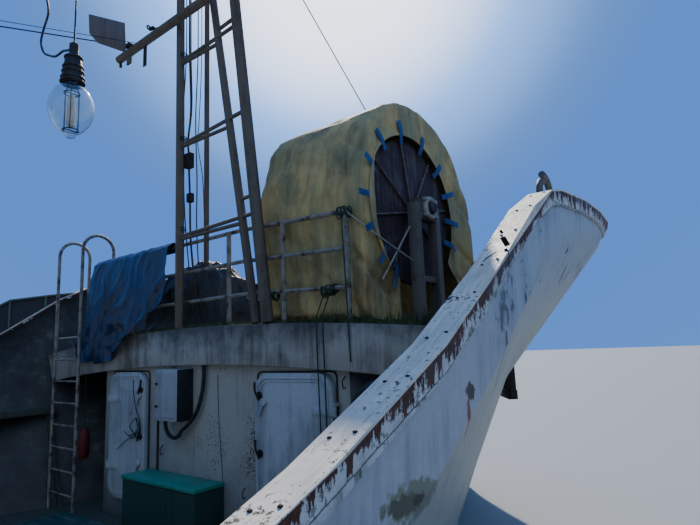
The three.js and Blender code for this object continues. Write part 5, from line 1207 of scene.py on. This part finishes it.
blue_tape = cloth_look("blue lashing tape", "24509A", "183668", "0D1E3C", rough=0.5)
tape_wide, tape_thick = 0.03, Vector((0, 0.004, 0))
ties = []
draw = random.Random(5)
for degrees in (103, 130, 157, 178, 74, 46, 24, 2, -20, 219, 237, 197):
    a = math.radians(degrees)
    swing = a + draw.uniform(-0.05, 0.05)
    outer_r, inner_r = 0.93 + draw.uniform(-0.03, 0.04), 0.7 + draw.uniform(-0.03, 0.02)
    outer = Vector((reel_x + outer_r * math.cos(swing), -2.498, reel_z + outer_r * math.sin(swing)))
    inner = Vector((reel_x + inner_r * math.cos(a), -2.472, reel_z + inner_r * math.sin(a)))
    ties.append((outer, outer.lerp(inner, 0.45) + Vector((0, -0.012, 0)), inner))
points, faces = [], []
for run in ties:
    wide = (run[2] - run[0]).cross(Vector((0, 1, 0))).normalized() * tape_wide
    path = smooth_path(run, 6)
    start, last = len(points), len(points) + 4 * (len(path) - 1)
    for p in path:
        points += [p - wide, p + wide, p + wide + tape_thick, p - wide + tape_thick]
    for first in range(start, last, 4):
        for side in range(4):
            a, b = first + side, first + (side + 1) % 4
            faces.append((a, b, b + 4, a + 4))
    faces += [(start + 3, start + 2, start + 1, start), (last, last + 1, last + 2, last + 3)]
add_piece("cover_ties", points, faces, blue_tape, "boat", "blue_tarpaulin")


# Blue tarpaulin and dark heap
# A woven polythene sheet hung over the rail falls to the beam in folds that fan out at its foot; behind
# it dark soaked sheets lie heaped at the mast's foot. Both are thin, limp and left as they fell.
drop = evenly([(5.519, 3.9), (5.519, 3.99), (5.508, 4.017), (5.494, 4.02), (5.481, 4.0), (5.428, 3.96),
               (5.398, 3.5), (5.378, 2.9), (5.393, 2.545)], 90)
left_edge = [(4.02, 2.3), (3.2, 2.36), (2.69, 2.62), (2.545, 2.62)]
right_edge = [(4.02, 0.445), (3.3, 0.445), (3.09, 0.92), (2.86, 1.26), (2.56, 1.7), (2.545, 1.72)]


def edge_y(edge, z):
    """Where a side edge of the sheet lies at a height; an edge is given as (z, y) from the top down."""
    return float(np.interp(-z, [-a for a, _ in edge], [b for _, b in edge]))


blue_grid = []
for x, z in drop:
    y_left, y_right = edge_y(left_edge, z), edge_y(right_edge, z)
    slack = share((3.0 - z) / 0.45) ** 2
    row = []
    for t in np.linspace(0, 1, 130):
        hem = slack * 0.06 * (1.0 + noise.noise(Vector((t * 3.5, 2.0, 0.0))))
        row.append(Vector((x, y_left + (y_right - y_left) * t, z + hem)))
    blue_grid.append(row)


def blue_crease(p, _):
    """Crumpled folds that start at the lashings on the rail, lean and widen downwards."""
    low = share((4.02 - p.z) / 1.45)
    lean = p.y - 0.55 * low + 0.25 * noise.noise(Vector((p.y * 2.0, 0.0, p.z * 2.0)))
    large = 1.0 - 2.0 * abs(noise.noise(Vector((lean * 3.4, 1.0, p.z * 0.7))))
    small = 1.0 - 2.0 * abs(noise.noise(Vector((lean * 9.0, 4.0, p.z * 3.2))))
    dents = abs(noise.noise(Vector((p.y * 5.0, 9.0, p.z * 5.0))))
    return (0.012 + 0.075 * low) * max(large, 0.0) + (0.006 + 0.018 * low) * small + 0.05 * low * dents


poly_sheet = cloth_look("deep blue woven polythene", "0C3F70", "082545", "071526", along=(5.0, 5.0, 1.0),
                        rough=0.38, weave=300.0)
blue = cloth_mesh("blue_tarpaulin_cloth", blue_grid, poly_sheet, "boat", "blue_tarpaulin", blue_crease,
                  thick=0.0015)
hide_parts("blue_tarpaulin")

dark_sheet = cloth_look("dark soaked sheet", "353C44", "1C2228", "121417", along=(3.0, 3.0, 3.0), rough=0.6)
lump = dressed("tarpaulin_heap", dark_sheet, edge=0, sharp=180)
lump.modifiers.new("even", "REMESH").voxel_size = 0.022
keep_modified(lump)
inwards = [-Vector(n.vector) for n in lump.data.vertex_normals]
for vertex, inward in zip(lump.data.vertices, inwards):
    p = vertex.co
    drape = abs(noise.noise(Vector((p.x * 3.5, p.y * 3.5, p.z * 1.6))))
    folds = abs(noise.noise(Vector((p.x * 9.0 + 5.0, p.y * 9.0, p.z * 4.0))))
    above = share((p.z - 2.99) / 0.1)
    vertex.co += inward * ((0.11 * drape ** 0.7 + 0.045 * folds) * above)
skin = bmesh.new()
skin.from_mesh(lump.data)
foot = [f for f in skin.faces if f.calc_center_median().z < 2.96 and f.normal.z < -0.3]
bmesh.ops.delete(skin, geom=foot, context="FACES")
skin.to_mesh(lump.data)
skin.free()
lump.data.polygons.foreach_set("use_smooth", [True] * len(lump.data.polygons))
wall = lump.modifiers.new("wall", "SOLIDIFY")
wall.thickness = 0.0015
wall.offset = 0.0


# Frames of the port weather plate, and a float
# Light bars painted pale green along the edges of the plate that stands on the port cap, and a red
# foam float slung on a tail under the deck's edge.
frame_coat = weathered_paint("pale green frame paint", "5C7466", "2E3D34", "46301F", patch=0.3, peel=0.4,
                             rough=0.6)
plate_top = [(4.3, 2.75), (4.56, 3.37), (4.74, 3.48), (4.893, 3.576), (5.46, 3.682), (5.84, 3.738)]
frame_y = 3.842
many_tubes("weather_plate_frame", [
    ([(x, frame_y, z) for x, z in plate_top], 0.018),
    ([(4.893, frame_y, sheer_at(4.893)), (4.893, frame_y, 3.57)], 0.016),
    ([(5.4, frame_y, sheer_at(5.4)), (5.4, frame_y, 3.67)], 0.016),
], frame_coat, "boat", "frame_green_paint", 10)
float_red = cloth_look("faded red float foam", "8C1F26", "5E161C", "3A1216", rough=0.6)
float_x, float_y = 5.45, 2.48
float_path = [(float_x, float_y, z) for z in (1.28, 1.3, 1.36, 1.6, 1.67, 1.7)]
many_tubes("red_float", [(float_path, [0.02, 0.05, 0.07, 0.07, 0.045, 0.012])], float_red, "boat",
           "blue_tarpaulin", 20)
many_tubes("float_tail", [([(float_x, float_y, 1.69), (float_x, float_y, 2.54)], 0.006)], green_line,
           "boat", "frame_green_paint", 6)


# Windlass and anchors
# A windlass on the forecastle deck, its frame of welded plate painted grey-green, and two cast anchors
# hauled up hard on their hawse bolsters. Drum and anchors are black-brown with grease and rust.
gear_coat = weathered_paint("grey-green gear paint", "4C5850", "262A26", "3C261C", patch=0.25, peel=0.6,
                            rough=0.7)
for node, mat in (("windlass_frame", gear_coat), ("windlass_drum", dark_iron), ("anchor_port", dark_iron),
                  ("anchor_starboard", dark_iron)):
    dressed(node, mat, edge=0.006)


# Hatch, deckhouse, boat deck and wheelhouse
# Plate steel, brush painted: white above the deck, green on the hatch, mossy grey-green where the boat
# deck is walked on. The windows are toughened glass held in black rubber.
white_coat = weathered_paint("brushed white paint", "CDCCC4", "7C7D78", "573A2C", patch=0.8, peel=0.2,
                             grimy=0.5, runs=0.6, rough=0.5)
frame_green = weathered_paint("frame green paint", "4E6656", "2A352C", "46301F", patch=0.3, peel=0.4,
                              rough=0.65)
for node, mat, edge in (
    ("hatch_coaming", frame_green, 0.008), ("hatch_lid", frame_green, 0.01),
    ("deckhouse", white_coat, 0.006), ("deckhouse_door", door_coat, 0.005),
    ("boat_deck", white_coat, 0.01), ("boat_deck_railing", rail_coat, 0),
    ("wheelhouse", white_coat, 0.006), ("wheelhouse_door_port", door_coat, 0.004),
    ("wheelhouse_door_starboard", door_coat, 0.004), ("wheelhouse_roof", white_coat, 0.02),
    ("funnel", mast_coat, 0.008), ("radar_post", mast_coat, 0), ("radar_scanner", white_coat, 0.01),
):
    made = dressed(node, mat, edge=edge)
    if node == "boat_deck":
        recoat(made, deck_coat, lambda face: face.normal.z > 0.9)


def window_glass(name):
    """Hard glass, faintly tinted and clear, its sharp gloss dulled by salt in patches."""
    mat, tree, shader, place = new_material(name)
    salt = put(tree, "TexNoise", {"Vector": place, "Scale": 14.0, "Detail": 6.0})
    haze = put(tree, "MapRange", {"Value": salt, "From Min": 0.4, "From Max": 0.8, "To Min": 0.03,
                                  "To Max": 0.25})
    feed(tree, shader, {"Roughness": haze, "Base Color": linear("DCE8E6"), "Transmission Weight": 1.0,
                        "IOR": 1.5})
    return mat


pane_glass = window_glass("salt-hazed window glass")
deck_z = 2.82
sill, head, pane_half, pane_inset, gasket_radius = deck_z + 1.08, deck_z + 1.78, 0.004, 0.03, 0.014
panes, gaskets = [], []
for y in (-1.75, 1.75):
    inner = y - math.copysign(pane_inset, y)
    for x in (-3.65, -3.02, -1.48):
        x1 = x + 0.46
        panes.append(((x, inner - pane_half, sill), (x1, inner + pane_half, head)))
        gaskets.append([(x, y, sill), (x1, y, sill), (x1, y, head), (x, y, head), (x, y, sill)])
for x, spans in ((-0.9, [(-1.36, -0.8), (-0.7, -0.14), (-0.04, 0.52), (0.62, 1.18), (1.24, 1.54)]),
                 (-3.9, [(-1.3, -0.7), (0.7, 1.3)])):
    inner = x - math.copysign(pane_inset, x + 2.4)
    for y0, y1 in spans:
        panes.append(((inner - pane_half, y0, sill), (inner + pane_half, y1, head)))
        gaskets.append([(x, y0, sill), (x, y1, sill), (x, y1, head), (x, y0, head), (x, y0, sill)])
boxes("wheelhouse_panes", panes, pane_glass, "boat", "lamp_glass", edge=0.001)
many_tubes("wheelhouse_gaskets", [(run, gasket_radius) for run in gaskets], black_rubber, "boat",
           "black_rubber", 8)
portholes, rims, porthole_z = [], [], 1.85
for y in (-2.35, 2.35):
    out = math.copysign(1.0, y)
    for x in (-5.6, -4.3, -2.9, -1.6):
        rims.append((ring_points((x, y + out * 0.012, porthole_z), 0.165, 32), 0.022))
        portholes.append(([(x, y - out * 0.004, porthole_z), (x, y + out * 0.006, porthole_z)], 0.16))
many_tubes("porthole_glass", portholes, pane_glass, "boat", "lamp_glass", 32)
many_tubes("porthole_rims", rims, white_coat, "boat", "white_paint", 10)
board_z, light_x = 4.3, -1.4
for side, y, tint in (("port", 1.79, "7A1616"), ("starboard", -1.79, "14603A")):
    lens = even_coat(f"{side} light lens", {"Base Color": linear(tint), "Roughness": 0.15,
                                            "Coat Weight": 0.6})
    lens_y = y + math.copysign(1.0, y) * 0.085
    floor_plate = (light_x - 0.5, y - 0.03, board_z), (light_x + 0.5, y + 0.03, board_z + 0.03)
    back_plate = (light_x - 0.5, y - 0.03, board_z), (light_x + 0.5, y, board_z + 0.32)
    boxes(f"side_light_board_{side}", [floor_plate, back_plate], vent_coat, "boat", "vent_black")
    for part, mat, slot, low, high, radius in (("", lens, "lamp_glass", 4.33, 4.47, 0.055),
                                               ("_cap", vent_coat, "vent_black", 4.47, 4.5, 0.062)):
        many_tubes(f"side_light{part}_{side}", [([(light_x, lens_y, low), (light_x, lens_y, high)],
                                                 radius)], mat, "boat", slot, 24)


# Trawl winch, gallows, stays and lamp
# The aft working gear, its drums full of greased wire, and the forward working lamp on its boom: a
# clear outer bulb over a small frosted arc tube held on two wires.
for node, mat, edge in (
    ("winch_frame", gear_coat, 0.005), ("winch_drum_port", dark_iron, 0.006),
    ("winch_drum_starboard", dark_iron, 0.006), ("stern_gallows", mast_coat, 0.008),
    ("main_stays", dark_iron, 0), ("lamp_boom", dark_iron, 0),
    ("lamp_socket", vent_coat, 0.002), ("mast_wires", dark_iron, 0),
    ("hanging_board", weathered_paint("grey-brown board paint", "746C6C", "4E4848", "3A2E2A"), 0.01),
):
    dressed(node, mat, edge=edge)
winch_x, winch_z = -8.0, 1.42
turns, coil_radius, core_radius, wire_thin = 34, 0.335, 0.33, 0.0165
for side, y0, y1 in (("port", 0.13, 1.19), ("starboard", -1.19, -0.13)):
    coil = [(winch_x + coil_radius * math.cos(a), y0 + (y1 - y0) * a / (math.tau * turns),
             winch_z + coil_radius * math.sin(a))
            for a in (math.tau * k / 30 for k in range(30 * turns + 1))]
    core = [(winch_x, y0, winch_z), (winch_x, y1, winch_z)]
    many_tubes(f"winch_wire_{side}", [(coil, wire_thin), (core, core_radius)], dark_iron,
               f"winch_{side}_body", "wire_rope", 8)
bulb_low, bulb_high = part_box("lamp_bulb")
bulb_x, bulb_y = (bulb_low[0] + bulb_high[0]) / 2, (bulb_low[1] + bulb_high[1]) / 2
bulb_r, bulb_drop = 0.46 * (bulb_high[0] - bulb_low[0]), bulb_high[2] - bulb_low[2]
profile = [(0.0, 0.36), (0.03, 0.45), (0.08, 0.6), (0.16, 0.78), (0.28, 0.93), (0.42, 1.0), (0.56, 0.97),
           (0.68, 0.87), (0.78, 0.72), (0.86, 0.53), (0.9, 0.4), (0.925, 0.27), (0.95, 0.235),
           (0.98, 0.225), (1.0, 0.12)]
profile = [(p.x, p.y) for p in smooth_path([(t, r, 0.0) for t, r in profile], 4)]


def on_axis(t):
    """A point on the bulb's axis, at a share of its height from the top."""
    return bulb_x, bulb_y, bulb_high[2] - bulb_drop * t


bulb_path = [on_axis(t) for t, _ in profile]
lamp_glass = window_glass("clear hard lamp glass")
feed(lamp_glass.node_tree, lamp_glass.node_tree.nodes["Principled BSDF"], {"Base Color": linear("F8F6F0")})
bulb = many_tubes("lamp_bulb_glass", [(bulb_path, [bulb_r * r for _, r in profile])], lamp_glass, "boat",
                  "lamp_glass", 48)
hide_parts("lamp_bulb")
shell = bulb.modifiers.new("shell", "SOLIDIFY")
shell.thickness = 0.0016
shell.offset = -1.0
frosted = even_coat("frosted quartz", {"Base Color": linear("E4E8EC"), "Roughness": 0.5})
tube_run = [on_axis(t) for t in (0.2, 0.24, 0.28, 0.74, 0.78, 0.82)]
many_tubes("lamp_arc_tube", [(tube_run, [0.006, 0.013, 0.017, 0.017, 0.013, 0.006])], frosted, "boat",
           "lamp_glass", 24)
wires, wire_radius, wire_out = [], 0.0022, 0.03
for turn in (0.0, 2.1, 4.2):
    out_x, out_y = wire_out * math.cos(turn), wire_out * math.sin(turn)
    wires.append(([(bulb_x + out_x * 0.6, bulb_y + out_y * 0.6, bulb_high[2] - 0.002),
                   (bulb_x + out_x, bulb_y + out_y, bulb_high[2] - 0.03),
                   (bulb_x + out_x, bulb_y + out_y, bulb_low[2] + 0.03)], wire_radius))
for t in (0.17, 0.86):
    x, y, z = on_axis(t)
    wires.append((ring_points((x, y, z), wire_out, 24, "xy"), wire_radius))
    wires.append(([(x - wire_out, y, z), (x + wire_out, y, z)], wire_radius))
many_tubes("lamp_wires", wires, dark_iron, "boat", "dark_steel", 6)
socket_foot, socket_tall, socket_wide, socket_slim = bulb_high[2] + 0.002, 0.125, 0.046, 0.032
collars = []
for t in (0.05, 0.2, 0.42, 0.6, 0.95):
    radius = socket_wide + (socket_slim - socket_wide) * t
    collars.append((ring_points((bulb_x, bulb_y, socket_foot + socket_tall * t), radius, 32, "xy"), 0.005))
many_tubes("lamp_socket_rings", collars, black_rubber, "boat", "vent_black", 8)


# Raft straps
# Three woven straps hold the white moulded raft canister down in its cradle, on the boat deck abaft the
# wheelhouse. They are black webbing, drawn as thin round bands.
straps = [(ring_points((x, 1.6, 3.2), 0.306, 40, "yz"), 0.008) for x in (-5.02, -4.75, -4.48)]
many_tubes("raft_straps", straps, black_rubber, "boat", "black_rubber", 6)
